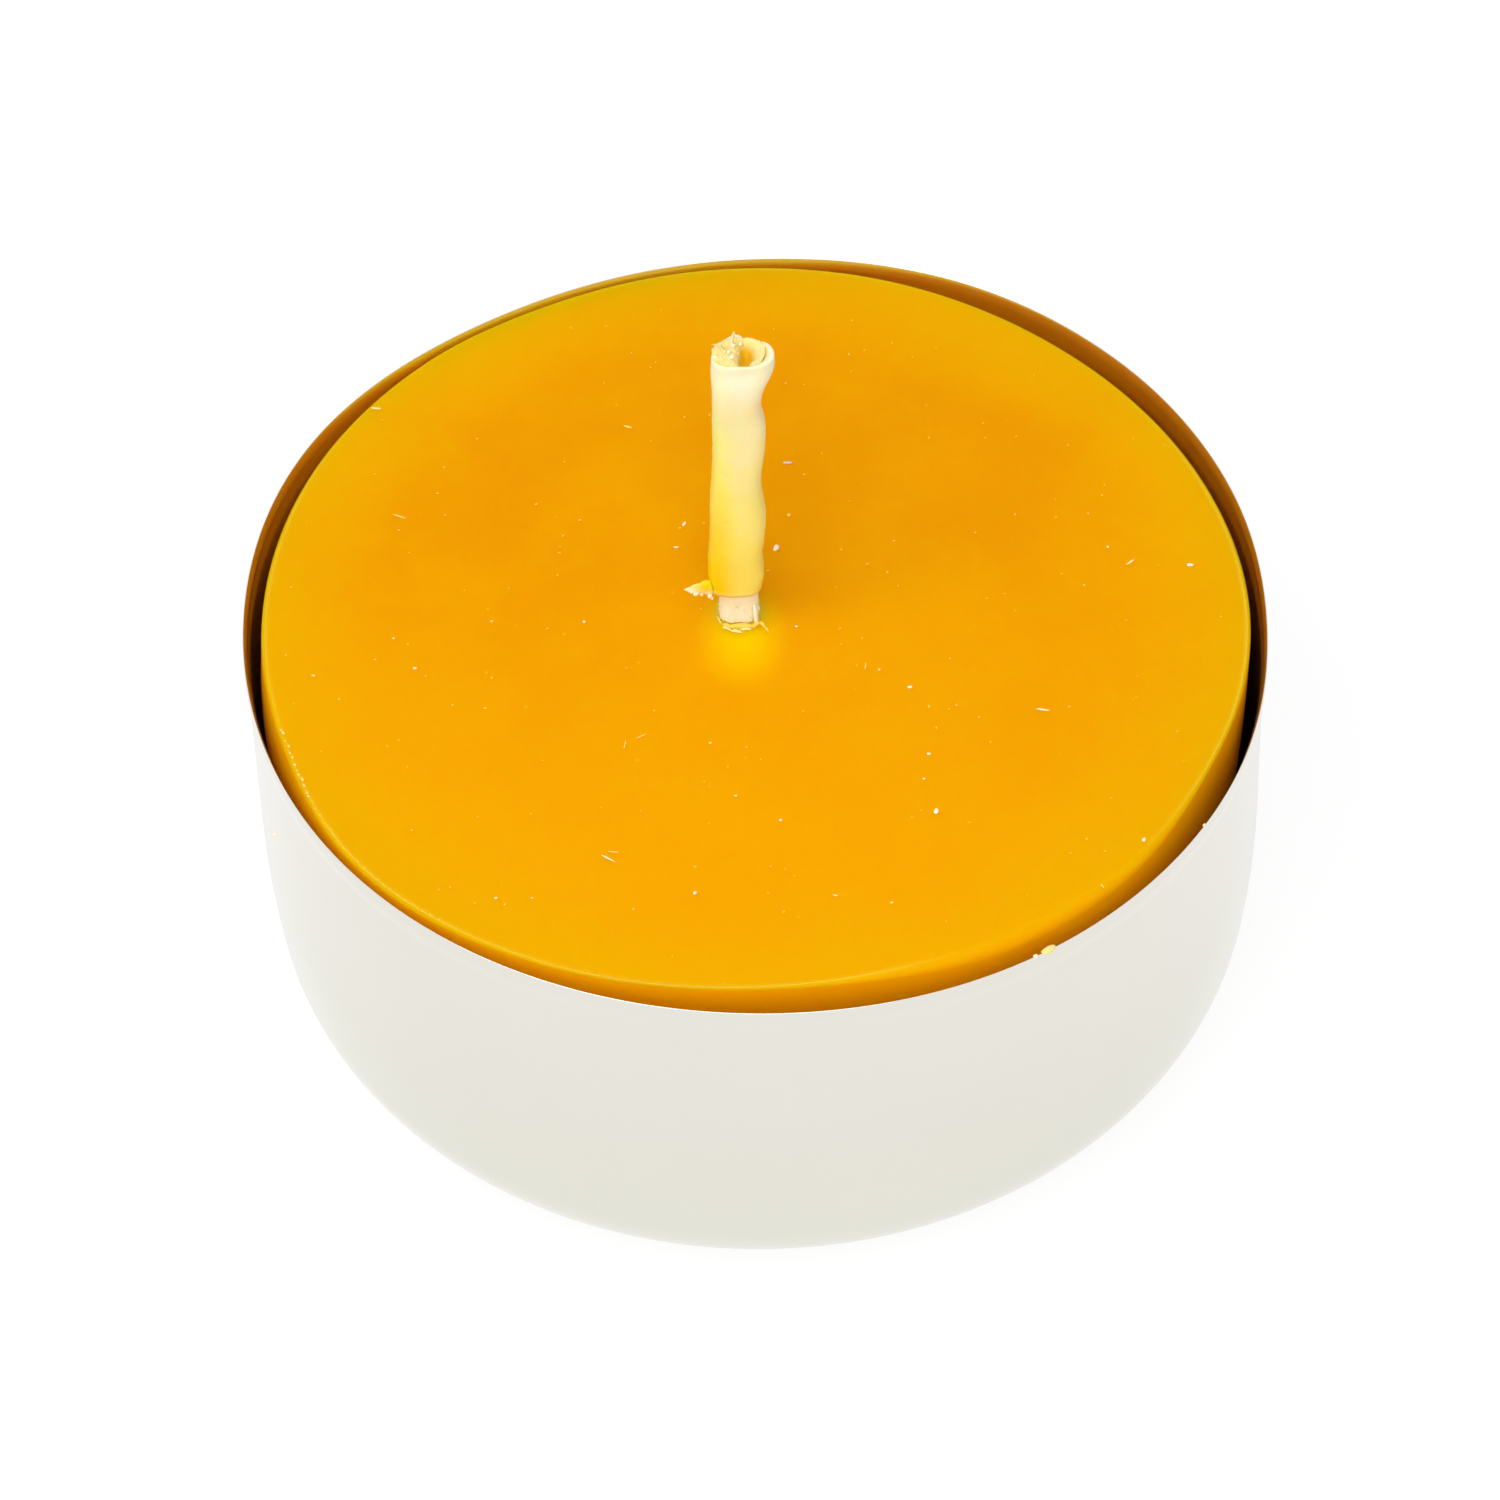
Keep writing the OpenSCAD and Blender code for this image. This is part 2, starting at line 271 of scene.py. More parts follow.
def make_piece(name, shells, material, replaced=None):
    """Makes one object of skins, gives it its material, puts it under the root body, and hides the solid that
    it replaces.
    """
    points = []
    faces = []
    for shell_points, shell_faces in shells:
        start = len(points)
        points += (np.asarray(shell_points) * MM).tolist()
        faces += [tuple(int(corner) + start for corner in face) for face in shell_faces]
    mesh = bpy.data.meshes.new(name)
    mesh.from_pydata(points, [], faces)
    mesh.shade_smooth()
    mesh.materials.append(material)
    piece = bpy.data.objects.new(name, mesh)
    bpy.context.scene.collection.objects.link(piece)
    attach(piece, "root")
    if replaced:
        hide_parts(replaced)
    return piece


def paint(piece, name, values):
    """Gives the points of a piece values that its material reads, and 0 to those that are left."""
    spread = np.zeros(len(piece.data.vertices), np.float32)
    spread[:len(values)] = values
    attribute = piece.data.attributes.new(name, "FLOAT", "POINT")
    attribute.data.foreach_set("value", spread)


def tube(path, radii, sides, flatness=1.0):
    """Closed skin round a path, with one radius for each of its points."""
    path = np.asarray(path, float)
    ahead = np.gradient(path, axis=0)
    ahead /= np.linalg.norm(ahead, axis=1, keepdims=True)
    across = np.cross(ahead[0], (0.0, 0.0, 1.0))
    if np.linalg.norm(across) < 0.01:
        across = np.array((1.0, 0.0, 0.0))
    rings = []
    radians = np.radians(turns(sides))
    for point, forward, radius in zip(path, ahead, radii):
        across = across - forward * np.dot(across, forward)
        across = across / np.linalg.norm(across)
        upward = np.cross(forward, across)
        side = np.outer(np.cos(radians), across) + flatness * np.outer(np.sin(radians), upward)
        rings.append(point + radius * side)
    return skin(rings, path[0] - ahead[0] * radii[0] * 0.5, path[-1] + ahead[-1] * radii[-1] * 0.5)


def lump(place, length, width, height, direction, seed):
    """Closed skin of a small uneven crumb that lies along a direction."""
    sides = 10
    rings = []
    radians = np.radians(turns(sides))
    for level in (-65, -38, -12, 12, 38, 65):
        reach = math.cos(math.radians(level))
        up = math.sin(math.radians(level))
        rings.append(np.stack((reach * np.cos(radians), reach * np.sin(radians), np.full(sides, up)), -1))
    rings = np.array(rings)
    rings *= 1 + 0.35 * rough(rings, 0.9, seed)[..., None]
    size = np.array((length, width, height)) / 2
    turn = math.radians(direction)
    spin = np.array(((math.cos(turn), math.sin(turn), 0), (-math.sin(turn), math.cos(turn), 0), (0, 0, 1)))
    points, faces = skin(rings, (0, 0, -1), (0, 0, 1))
    return points * size @ spin + np.asarray(place), faces


def path_with_round_corners(corners, longest):
    """Points of a path through (r, z, corner radius) rows, with its straight runs cut to a longest step."""
    corners = np.array(corners, float)
    path = [corners[0, :2]]
    for before, corner, after in zip(corners[:-2], corners[1:-1], corners[2:]):
        if corner[2] == 0:
            path.append(corner[:2])
            continue
        come = corner[:2] - before[:2]
        leave = after[:2] - corner[:2]
        come /= np.linalg.norm(come)
        leave /= np.linalg.norm(leave)
        turn = math.atan2(come[0] * leave[1] - come[1] * leave[0], float(come @ leave))
        side = math.copysign(1, turn)
        start = corner[:2] - come * corner[2] * math.tan(abs(turn) / 2)
        centre = start + side * corner[2] * np.array((-come[1], come[0]))
        steps = max(4, math.ceil(math.degrees(abs(turn)) / 5))
        first = start - centre
        for step in range(steps + 1):
            spin = turn * step / steps
            path.append(centre + np.array((
                first[0] * math.cos(spin) - first[1] * math.sin(spin),
                first[0] * math.sin(spin) + first[1] * math.cos(spin),
            )))
    path.append(corners[-1, :2])
    cut = [path[0]]
    for here, there in zip(path[:-1], path[1:]):
        pieces = max(1, math.ceil(np.linalg.norm(there - here) / longest))
        cut += [here + (there - here) * part / pieces for part in range(1, pieces + 1)]
    return np.array(cut)


def srgb(red, green, blue):
    """Linear colour of a display colour given from 0 to 255."""
    def linear(level):
        share = level / 255
        return share / 12.92 if share <= 0.04045 else ((share + 0.055) / 1.055) ** 2.4
    return (linear(red), linear(green), linear(blue), 1.0)


def node(tree, kind, inputs=None, **settings):
    """Adds a shader node, sets its properties, and fills or links its inputs."""
    made = tree.nodes.new("ShaderNode" + kind)
    for name, value in settings.items():
        setattr(made, name, value)
    for socket, value in (inputs or {}).items():
        if isinstance(value, bpy.types.NodeSocket):
            tree.links.new(value, made.inputs[socket])
        else:
            made.inputs[socket].default_value = value
    return made


def new_material(name):
    """Material with its tree, its surface shader, and object coordinates in millimetres."""
    material = bpy.data.materials.new(name)
    material.use_nodes = True
    tree = material.node_tree
    shader = tree.nodes["Principled BSDF"]
    place = scaled(tree, node(tree, "TexCoord").outputs["Object"], (1000, 1000, 1000))
    return material, tree, shader, place


def math_node(tree, operation, first, second=0.0):
    """Output of a math node."""
    return node(tree, "Math", {0: first, 1: second}, operation=operation).outputs[0]


def added(tree, first, second):
    """Sum of two outputs or numbers."""
    return math_node(tree, "ADD", first, second)


def times(tree, first, second):
    """Product of two outputs or numbers."""
    return math_node(tree, "MULTIPLY", first, second)


def scaled(tree, vector, factors):
    """Vector times three factors."""
    return node(tree, "VectorMath", {0: vector, 1: factors}, operation="MULTIPLY").outputs[0]


def offset_from(tree, place, centre):
    """Vector from a centre to each place."""
    return node(tree, "VectorMath", {0: place, 1: centre}, operation="SUBTRACT").outputs[0]


def length_of(tree, vector):
    """Length of a vector output."""
    return node(tree, "VectorMath", {0: vector}, operation="LENGTH").outputs["Value"]


def parts_of(tree, vector):
    """The x, y and z outputs of a vector."""
    return node(tree, "SeparateXYZ", {0: vector}).outputs


def span(tree, value, low, high, to_low=0.0, to_high=1.0):
    """Smooth change of a value's output between low and high."""
    inputs = {"Value": value, "From Min": low, "From Max": high, "To Min": to_low, "To Max": to_high}
    return node(tree, "MapRange", inputs, interpolation_type="SMOOTHSTEP").outputs[0]


def clouds(tree, vector, size, detail=3.0, roughness=0.55):
    """Noise output from 0 to 1 with patches of a size in millimetres."""
    inputs = {"Vector": vector, "Scale": 1 / size, "Detail": detail, "Roughness": roughness}
    return node(tree, "TexNoise", inputs).outputs["Fac"]


def specks(tree, vector, spacing, radius):
    """Scattered specks of uneven strength, from 0 between them to 1."""
    cells = node(tree, "TexVoronoi", {"Vector": vector, "Scale": 1 / spacing}).outputs
    near = span(tree, cells["Distance"], radius / spacing, 0.4 * radius / spacing)
    strength = span(tree, parts_of(tree, cells["Color"])[0], 0.3, 1.0)
    return times(tree, near, strength)


def painted(tree, name):
    """Value that the mesh carries at each point."""
    return node(tree, "Attribute", attribute_name=name).outputs["Fac"]


def blend_colours(tree, share, first, second):
    """Colour between two others."""
    mix = tree.nodes.new("ShaderNodeMix")
    mix.data_type = "RGBA"
    for index, value in ((0, share), (6, first), (7, second)):
        if isinstance(value, bpy.types.NodeSocket):
            tree.links.new(value, mix.inputs[index])
        else:
            mix.inputs[index].default_value = value
    return mix.outputs[2]


def colour_ramp(tree, share, tones):
    """Colour between the rows of a (position, colour) list."""
    ramp = node(tree, "ValToRGB", {0: share})
    bands = ramp.color_ramp.elements
    while len(bands) < len(tones):
        bands.new(0.5)
    for band, (position, tone) in zip(bands, tones):
        band.position = position
        band.color = tone
    return ramp.outputs[0]


def set_colour(tree, shader, colour):
    """Links the surface colour."""
    tree.links.new(colour, shader.inputs["Base Color"])


def set_roughness(tree, shader, roughness):
    """Links the surface roughness."""
    tree.links.new(roughness, shader.inputs["Roughness"])


def add_bump(tree, shader, height, strength, distance):
    """Bump of a height from 0 to 1, with its full depth in millimetres."""
    inputs = {"Height": height, "Strength": strength, "Distance": distance * MM}
    tree.links.new(node(tree, "Bump", inputs).outputs[0], shader.inputs["Normal"])


def set_inputs(shader, values):
    """Constants set on the surface shader's own sockets."""
    for socket, value in values.items():
        shader.inputs[socket].default_value = value


# Small dark scuffs on the cup's wall: x, y, z, radius
WALL_SCUFFS = [(-14.5, -11.3, 6, 0.16), (-5.3, -14.9, 2, 0.14), (12.4, -13.9, 13.4, 0.1), (9.5, 15, 7, 0.15)]


def aluminium():
    """Satin pressed aluminium, smooth and a little warm, with painted shade towards the bottom."""
    material, tree, shader, place = new_material("satin_aluminium")
    drawn = clouds(tree, scaled(tree, place, (1, 1, 0.05)), 0.9, 4)
    patches = clouds(tree, place, 7, 2)
    share = added(tree, times(tree, drawn, 0.35), times(tree, patches, 0.65))
    # Painted shade: the wall is darker towards the bottom, standing in for the floor's shadow that it mirrors
    # there.
    high = span(tree, parts_of(tree, place)[2], 1, 16)
    colour = blend_colours(tree, high, srgb(220, 219, 207), srgb(227, 224, 215))
    colour = blend_colours(tree, times(tree, share, 0.25), colour, srgb(240, 237, 230))
    for x, y, z, radius in WALL_SCUFFS:
        far = length_of(tree, offset_from(tree, place, (x, y, z)))
        ragged = added(tree, far, times(tree, clouds(tree, place, 0.1), radius))
        scuff = times(tree, span(tree, ragged, 1.6 * radius, 0.8 * radius), 0.6)
        colour = blend_colours(tree, scuff, colour, srgb(120, 118, 112))
    set_colour(tree, shader, colour)
    set_roughness(tree, shader, span(tree, drawn, 0.2, 0.8, 0.18, 0.2))
    set_inputs(shader, {"Metallic": 1.0})
    add_bump(tree, shader, clouds(tree, scaled(tree, place, (1, 1, 0.3)), 0.25, 3), 0.2, 0.0012)
    return material


def tinned_steel():
    """Bright tin plate with soft crystal patches."""
    material, tree, shader, place = new_material("tinned_steel")
    patches = node(tree, "TexVoronoi", {"Vector": place, "Scale": 0.7}).outputs["Distance"]
    set_colour(tree, shader, blend_colours(tree, patches, srgb(205, 203, 198), srgb(228, 226, 220)))
    set_roughness(tree, shader, span(tree, patches, 0, 1, 0.22, 0.38))
    set_inputs(shader, {"Metallic": 1.0})
    add_bump(tree, shader, clouds(tree, place, 0.3), 0.3, 0.004)
    return material


def beeswax():
    """Golden beeswax, cloudy, with painted light: yellower towards its edge, lighter at the front, and a
    painted glow before the wick and down its side; pale folds by the wick, and a pale burr with a painted
    highlight along the mould's ridge.
    """
    material, tree, shader, place = new_material("golden_beeswax")
    from_centre = offset_from(tree, place, (PUCK_X, PUCK_Y, 0))
    radius = length_of(tree, scaled(tree, from_centre, (1, 1, 0)))
    # Painted light: the wax turns yellower towards its edge, standing in for light scattered through the wax
    # there.
    wander = times(tree, added(tree, clouds(tree, place, 5), -0.5), 5)
    edge = span(tree, added(tree, radius, wander), 13, 18.5)
    # Painted light: the top is lighter towards the front.
    front = span(tree, parts_of(tree, from_centre)[1], 6, -14)
    cloudy = span(tree, clouds(tree, place, 7, 4), 0.35, 0.65)
    centre = blend_colours(tree, front, srgb(233, 153, 0), srgb(241, 165, 0))
    centre = blend_colours(tree, times(tree, cloudy, 0.5), centre, srgb(240, 169, 0))
    colour = blend_colours(tree, times(tree, edge, 0.85), centre, srgb(235, 173, 0))
    # Painted glow: the side below the top turns a brighter, redder orange, standing in for light that shines
    # through the wax and the red tint of its shade.
    deep = span(tree, parts_of(tree, place)[2], PUCK_TOP_Z - 0.02, PUCK_TOP_Z - 0.25)
    colour = blend_colours(tree, deep, colour, srgb(255, 168, 0))
    # Painted glow: a yellow pool of light on the top in front of the wick's foot.
    glow_centre = (WICK_X + 0.1, WICK_Y - 1.2, PUCK_TOP_Z)
    far = length_of(tree, scaled(tree, offset_from(tree, place, glow_centre), (1 / 2.0, 1 / 3.2, 1 / 2.0)))
    colour = blend_colours(tree, span(tree, far, 1, 0.1, 0, 0.85), colour, srgb(255, 204, 0))
    coarse = times(tree, specks(tree, place, 1.4, 0.09), 0.45)
    colour = blend_colours(tree, coarse, colour, srgb(255, 205, 60))
    fine = times(tree, specks(tree, offset_from(tree, place, (3, 7, 5)), 0.5, 0.05), 0.3)
    colour = blend_colours(tree, fine, colour, srgb(255, 196, 40))
    # Pale wax of the folds by the wick and of the mould's burr, with painted light round the wick's foot and
    # a painted highlight along the ridge.
    colour = blend_colours(tree, painted(tree, "pale"), colour, srgb(255, 218, 80))
    set_colour(tree, shader, colour)
    set_roughness(tree, shader, span(tree, cloudy, 0, 1, 0.4, 0.5))
    set_inputs(shader, {
        "Specular IOR Level": 0.012,
        "Subsurface Weight": 0.8,
        "Subsurface Radius": (1.0, 0.5, 0.1),
        "Subsurface Scale": 2 * MM,
    })
    add_bump(tree, shader, clouds(tree, place, 0.9, 5), 0.35, 0.02)
    return material


def coat_wax():
    """Wax coat of the wick: cream at its head, deeper yellow down its left side, and with painted shade
    inside its open head.
    """
    material, tree, shader, place = new_material("wick_coat_wax")
    x, _, z = parts_of(tree, offset_from(tree, place, (WICK_X, WICK_Y, COAT_LOW_Z)))
    up = math_node(tree, "MINIMUM", times(tree, z, 1 / (COAT_TOP_Z - COAT_LOW_Z)), 1)
    left = span(tree, x, 0.15, -0.85)
    yellowing = times(tree, left, times(tree, added(tree, times(tree, up, -1), 1), 0.52))
    wander = times(tree, added(tree, clouds(tree, place, 1.6, 4), -0.5), 0.35)
    share = added(tree, added(tree, times(tree, up, 0.58), 0.43), wander)
    share = math_node(tree, "SUBTRACT", share, yellowing)
    colour = colour_ramp(tree, share, [
        (0.0, srgb(252, 212, 10)), (0.5, srgb(255, 232, 112)), (0.65, srgb(255, 236, 142)),
        (0.8, srgb(252, 233, 168)), (1.0, srgb(252, 240, 208)),
    ])
    colour = blend_colours(tree, painted(tree, "pale"), colour, srgb(255, 241, 208))
    # Painted shade: deeper yellow inside the coat's open head, growing with depth.
    colour = blend_colours(tree, painted(tree, "hollow"), colour, srgb(255, 205, 60))
    set_colour(tree, shader, colour)
    set_roughness(tree, shader, span(tree, clouds(tree, place, 0.8), 0.3, 0.7, 0.4, 0.48))
    set_inputs(shader, {
        "Specular IOR Level": 0.15,
        "Subsurface Weight": 1.0,
        "Subsurface Radius": (1.0, 0.75, 0.4),
        "Subsurface Scale": 0.12 * MM,
    })
    add_bump(tree, shader, clouds(tree, place, 0.35, 4), 0.4, 0.025)
    return material


def cotton():
    """Off-white cotton with twisted fibres, amber down in the pit of its cut end: painted shade, with the
    yellow of the wax that soaks it.
    """
    material, tree, shader, place = new_material("wick_cotton")
    fibres = clouds(tree, scaled(tree, place, (1, 1, 0.12)), 0.07, 4)
    up = span(tree, parts_of(tree, place)[2], 18, 29)
    light = blend_colours(tree, up, srgb(255, 253, 232), srgb(252, 236, 170))
    dark = blend_colours(tree, up, srgb(240, 235, 200), srgb(243, 218, 130))
    colour = blend_colours(tree, fibres, dark, light)
    # Painted shade in the pit of the cut end, with the yellow of soaked wax.
    colour = blend_colours(tree, painted(tree, "hollow"), colour, srgb(228, 180, 20))
    set_colour(tree, shader, colour)
    set_roughness(tree, shader, span(tree, fibres, 0.2, 0.8, 0.65, 0.8))
    set_inputs(shader, {
        "Specular IOR Level": 0.1,
        "Sheen Weight": 0.03,
        "Subsurface Weight": 0.2,
        "Subsurface Radius": (1.0, 0.8, 0.5),
        "Subsurface Scale": 0.1 * MM,
    })
    add_bump(tree, shader, fibres, 0.6, 0.03)
    return material


def crumb_wax():
    """Crumbs of wax from yellow to nearly white, and grey where the painted tone is 1."""
    material, tree, shader, place = new_material("pale_wax_crumbs")
    colour = colour_ramp(tree, painted(tree, "tone"), [
        (0.0, srgb(255, 200, 40)), (0.45, srgb(255, 226, 130)), (0.9, srgb(255, 248, 228)),
        (1.0, srgb(205, 195, 188)),
    ])
    colour = blend_colours(tree, times(tree, clouds(tree, place, 0.1), 0.3), colour, srgb(255, 222, 120))
    set_colour(tree, shader, colour)
    set_roughness(tree, shader, span(tree, clouds(tree, place, 0.2), 0.3, 0.7, 0.5, 0.7))
    set_inputs(shader, {"Specular IOR Level": 0.2})
    add_bump(tree, shader, clouds(tree, place, 0.08), 0.5, 0.02)
    return material


def wall_r(z):
    """Radius of the cup's outer wall, which leans in more below its knee."""
    above = KNEE_R + (z - KNEE_Z) * DRAFT / (RIM_Z - KNEE_Z)
    below = KNEE_R + (z - KNEE_Z) * FOOT_LEAN / KNEE_Z
    return np.minimum(above, below)


def wall_sway(angles, z):
    """How far the cup's wall stands out of round at a height."""
    return smooth_lookup(CUP_ROUND, angles, 360) * smooth_step(ROUND_FROM_Z, ROUND_FULL_Z, z)


def build_cup(material):
    """The pressed cup, with its rim out of round and the base panel raised."""
    half = WALL / 2
    band_z = RIM_Z - BAND_H - BAND_BLEND / 2
    corners = [
        (0.0, PANEL_RISE + half, 0),
        (PANEL_R, PANEL_RISE + half, PANEL_ROUNDING),
        (PANEL_R + PANEL_SLOPE, half, PANEL_ROUNDING),
        (wall_r(half) - half, half, CORNER_R - half),
        (KNEE_R - half, KNEE_Z, KNEE_ROUNDING),
        (wall_r(band_z) - half, band_z, BAND_ROUNDING),
        (RIM_R - half, band_z + BAND_BLEND, BAND_ROUNDING),
        (RIM_R - half, RIM_Z - RIM_TAPER, 0),
        (RIM_R - half, RIM_Z - 2 * RIM_EDGE, 0),
        (RIM_R - half, RIM_Z - RIM_EDGE / 2, 0),
    ]
    middle = path_with_round_corners(corners, 0.8)[1:]
    ahead = np.gradient(middle, axis=0)
    ahead /= np.linalg.norm(ahead, axis=1, keepdims=True)
    outward = np.stack((ahead[:, 1], -ahead[:, 0]), 1)
    halves = np.interp(middle[:, 1], (RIM_Z - RIM_TAPER, RIM_Z), (half, RIM_EDGE / 2))[:, None]
    middle[:, :1] += half - halves
    lip = [
        middle[-1] + halves[-1] * np.array((math.cos(math.radians(turn)), math.sin(math.radians(turn))))
        for turn in range(30, 180, 30)
    ]
    profile = np.vstack((middle + halves * outward, lip, (middle - halves * outward)[::-1]))
    angles = turns(CUP_SIDES)
    rings = [ring(0, 0, r + wall_sway(angles, z), z, angles) for r, z in profile]
    shell = skin(rings, (0, 0, PANEL_RISE), (0, 0, PANEL_RISE + WALL))
    return make_piece("pressed_cup", [shell], material, "cup")


def wick_outline(angles, grow, squareness=SQUARENESS):
    """Distance from the wick's axis to its outline, grown on every side."""
    radians = np.radians(angles)
    across = np.abs(np.cos(radians)) / (WICK_W / 2 + grow)
    deep = np.abs(np.sin(radians)) / (WICK_DEPTH / 2 + grow)
    return (across ** squareness + deep ** squareness) ** (-1 / squareness)


def inside_cup(points):
    """Points of the puck, with those that would meet the cup's wall pulled back inside it."""
    x, y, z = points.T
    reach = np.hypot(x, y)
    free = wall_r(z) - WALL - PUCK_CLEARANCE + wall_sway(np.degrees(np.arctan2(y, x)), z)
    share = np.minimum(1, free / reach)
    return np.stack((x * share, y * share, z), -1)


def puck_line_r(angles):
    """Radius, from the puck's middle, of the line at which its flat top ends."""
    return PUCK_R + smooth_lookup(PUCK_LINE, angles, 360)


def puck_top(points):
    """Height of the puck's cast top, without its edge and its foot collar."""
    flat = points * (1, 1, 0)
    return PUCK_TOP_Z + 0.035 * rough(flat, 6, 1) + 0.012 * rough(flat, 2, 2)


def puck_z(x, y):
    """Height of the puck's top, or of its rounded edge, at a place."""
    angle = math.degrees(math.atan2(y - PUCK_Y, x - PUCK_X))
    edge = float(smooth_lookup(PUCK_EDGE, angle, 360))
    over = math.hypot(x - PUCK_X, y - PUCK_Y) - float(puck_line_r(angle))
    over = min(max(over, 0), edge)
    return float(puck_top(np.array((x, y, 0.0)))) - edge + math.sqrt(edge ** 2 - over ** 2)


def collar(distance, angles, points):
    """Rise of the wax round the wick's foot by distance from it, and how pale it is there, with painted light
    close round the foot.
    """
    width = 0.26 + 0.26 * hump((angles - 305) / 32)
    climb = 0.06 * hump(distance / width)
    fold_at = 0.14 + 0.26 * hump((angles - 272) / 34)
    broken = 0.6 + 0.8 * rough(points, 0.22, 6)
    fold = hump((distance - fold_at) / 0.075) * smooth_step(222, 236, angles) * smooth_step(306, 292, angles)
    fold = np.clip(fold * broken, 0, 1)
    # The folds are pale wax; the paleness close round the wick's foot is painted light that lifts the shade
    # there.
    return climb + 0.1 * fold, 0.9 * fold + 0.5 * hump(distance / 0.2)


def puck_side(angles, line, edge):
    """Rings of the puck's underside, lower corner and side."""
    bulge = BULGE * hump((angles - BULGE_ANGLE) / BULGE_SPREAD)
    path = path_with_round_corners([
        (POCKET_R + UNDERSIDE_W, PUCK_LOW_Z, 0),
        (wall_r(PUCK_LOW_Z) - PUCK_INSET, PUCK_LOW_Z, PUCK_CORNER_R),
        (KNEE_R - PUCK_INSET, KNEE_Z, KNEE_ROUNDING - PUCK_INSET),
        (wall_r(ROUND_FULL_Z) - PUCK_INSET, ROUND_FULL_Z, 0),
    ], 1)
    rings = [ring(WICK_X, WICK_Y, POCKET_R, PUCK_LOW_Z, angles)]
    for r, z in path:
        lifted = smooth_step(ROUND_FROM_Z, ROUND_FULL_Z, z)
        full = smooth_step(PUCK_TOP_Z, PUCK_TOP_Z - BULGE_FADE, z)
        rings.append(ring(PUCK_X, PUCK_Y, r + ((line + edge) + bulge * full) * lifted, z, angles))
    return rings


def puck_edge(angles, line, edge, ridge):
    """Rings of the puck's rounded top edge with the mould's ridge, and how pale each ring is: a pale burr
    with a painted highlight along the ridge.
    """
    rings = []
    pale = []
    for level in range(0, 91, 6):
        lean = math.radians(level)
        rise = ridge * RIDGE_H * hump((level - RIDGE_LEVEL) / 7)
        z = PUCK_TOP_Z - edge * (1 - math.sin(lean)) + rise
        rings.append(ring(PUCK_X, PUCK_Y, PUCK_R + line + edge * math.cos(lean), z, angles))
        # Pale burr with a painted highlight where the ridge catches the light.
        pale.append(0.5 * ridge * hump((level - RIDGE_LEVEL) / 8))
    return rings, pale


def puck_top_rings(angles, line, ridge, bore):
    """Rings of the puck's top, from its edge in to the wick, and how pale each ring is."""
    line_r = PUCK_R + line
    inward = np.concatenate((
        np.array((0.05, 0.1, 0.18, 0.3, 0.5)) / PUCK_R,
        np.linspace(0.05, 0.9, 40),
        np.linspace(0.91, 1, 36),
    ))
    rings = []
    pale = []
    for depth in inward:
        share = 1 - depth
        x = WICK_X + (PUCK_X - WICK_X) * share
        y = WICK_Y + (PUCK_Y - WICK_Y) * share
        points = ring(x, y, bore + (line_r - bore) * share, 0, angles)
        distance = np.hypot(points[:, 0] - WICK_X, points[:, 1] - WICK_Y) - bore
        climb, paleness = collar(distance, angles, points)
        from_line = depth * PUCK_R
        points[:, 2] = PUCK_TOP_Z + (puck_top(points) - PUCK_TOP_Z) * smooth_step(0, 1, from_line) + climb
        rings.append(points)
        # Pale burr with a painted highlight just inside the ridge.
        pale.append(paleness + 0.25 * ridge * hump(from_line / 0.08))
    return rings, pale


def build_puck(material):
    """The cast puck with its uneven edge, the wax that climbs the wick, and the pocket for the sustainer."""
    angles = turns(PUCK_SIDES)
    line = smooth_lookup(PUCK_LINE, angles, 360)
    edge = smooth_lookup(PUCK_EDGE, angles, 360)
    ridge = np.clip(smooth_lookup(PUCK_RIDGE, angles, 360), 0, 1)
    bore = wick_outline(angles, -WAX_GRIP)
    side = puck_side(angles, line, edge)
    edge_rings, edge_pale = puck_edge(angles, line, edge, ridge)
    top_rings, top_pale = puck_top_rings(angles, line, ridge, bore)
    hollow_rows = [
        (bore, BORE_MIDDLE_Z),
        (bore, NECK_TOP_Z),
        (NECK_R, NECK_TOP_Z),
        (NECK_R, POCKET_TOP_Z),
        (POCKET_R, POCKET_TOP_Z),
    ]
    hollow = [ring(WICK_X, WICK_Y, r, z, angles) for r, z in hollow_rows]
    rings = [inside_cup(points) for points in side + edge_rings + top_rings + hollow]
    piece = make_piece("cast_puck", [skin(rings, closed=True)], material, "wax_puck")
    paint(piece, "pale", np.concatenate([np.zeros_like(angles)] * len(side) + edge_pale + top_pale))
    return piece


def braid_relief(angles, z):
    """Depth of the braid's surface below its outline."""
    turn = 360 * z / PITCH
    crossing = np.sin(np.radians(4 * angles + turn)) * np.sin(np.radians(4 * angles - turn))
    fibres = np.cos(np.radians(38 * angles + 3 * turn)) * np.cos(np.radians(26 * angles - 2 * turn))
    return 0.07 * (1 - crossing) / 2 + 0.01 * (1 + fibres)


def coat_opening(angles, grow):
    """Distance from the wick's axis to the wall of the coat's open head, which stands off at its right."""
    right_side = np.clip(np.cos(np.radians(angles)), 0, 1) ** 2
    return wick_outline(angles, FIT + grow, OPENING_SQUARENESS) + OPENING_ROOM * right_side


def fray_z(points):
    """Height of the frayed cut end, which is lower on its left and has a pit on its right."""
    x = points[..., 0] - WICK_X
    y = points[..., 1] - WICK_Y
    z = FRAY_Z + 0.06 * x + 0.08 * y
    for lump_x, lump_y, rise, size in FRAY:
        z = z + rise * hump(np.hypot(x - lump_x, y - lump_y) / size)
    flat = points * (1, 1, 0)
    z = z + 0.05 * rough(flat, 0.25, 4) + 0.035 * rough(flat, 0.1, 9)
    return np.minimum(z, FRAY_LIMIT_Z)


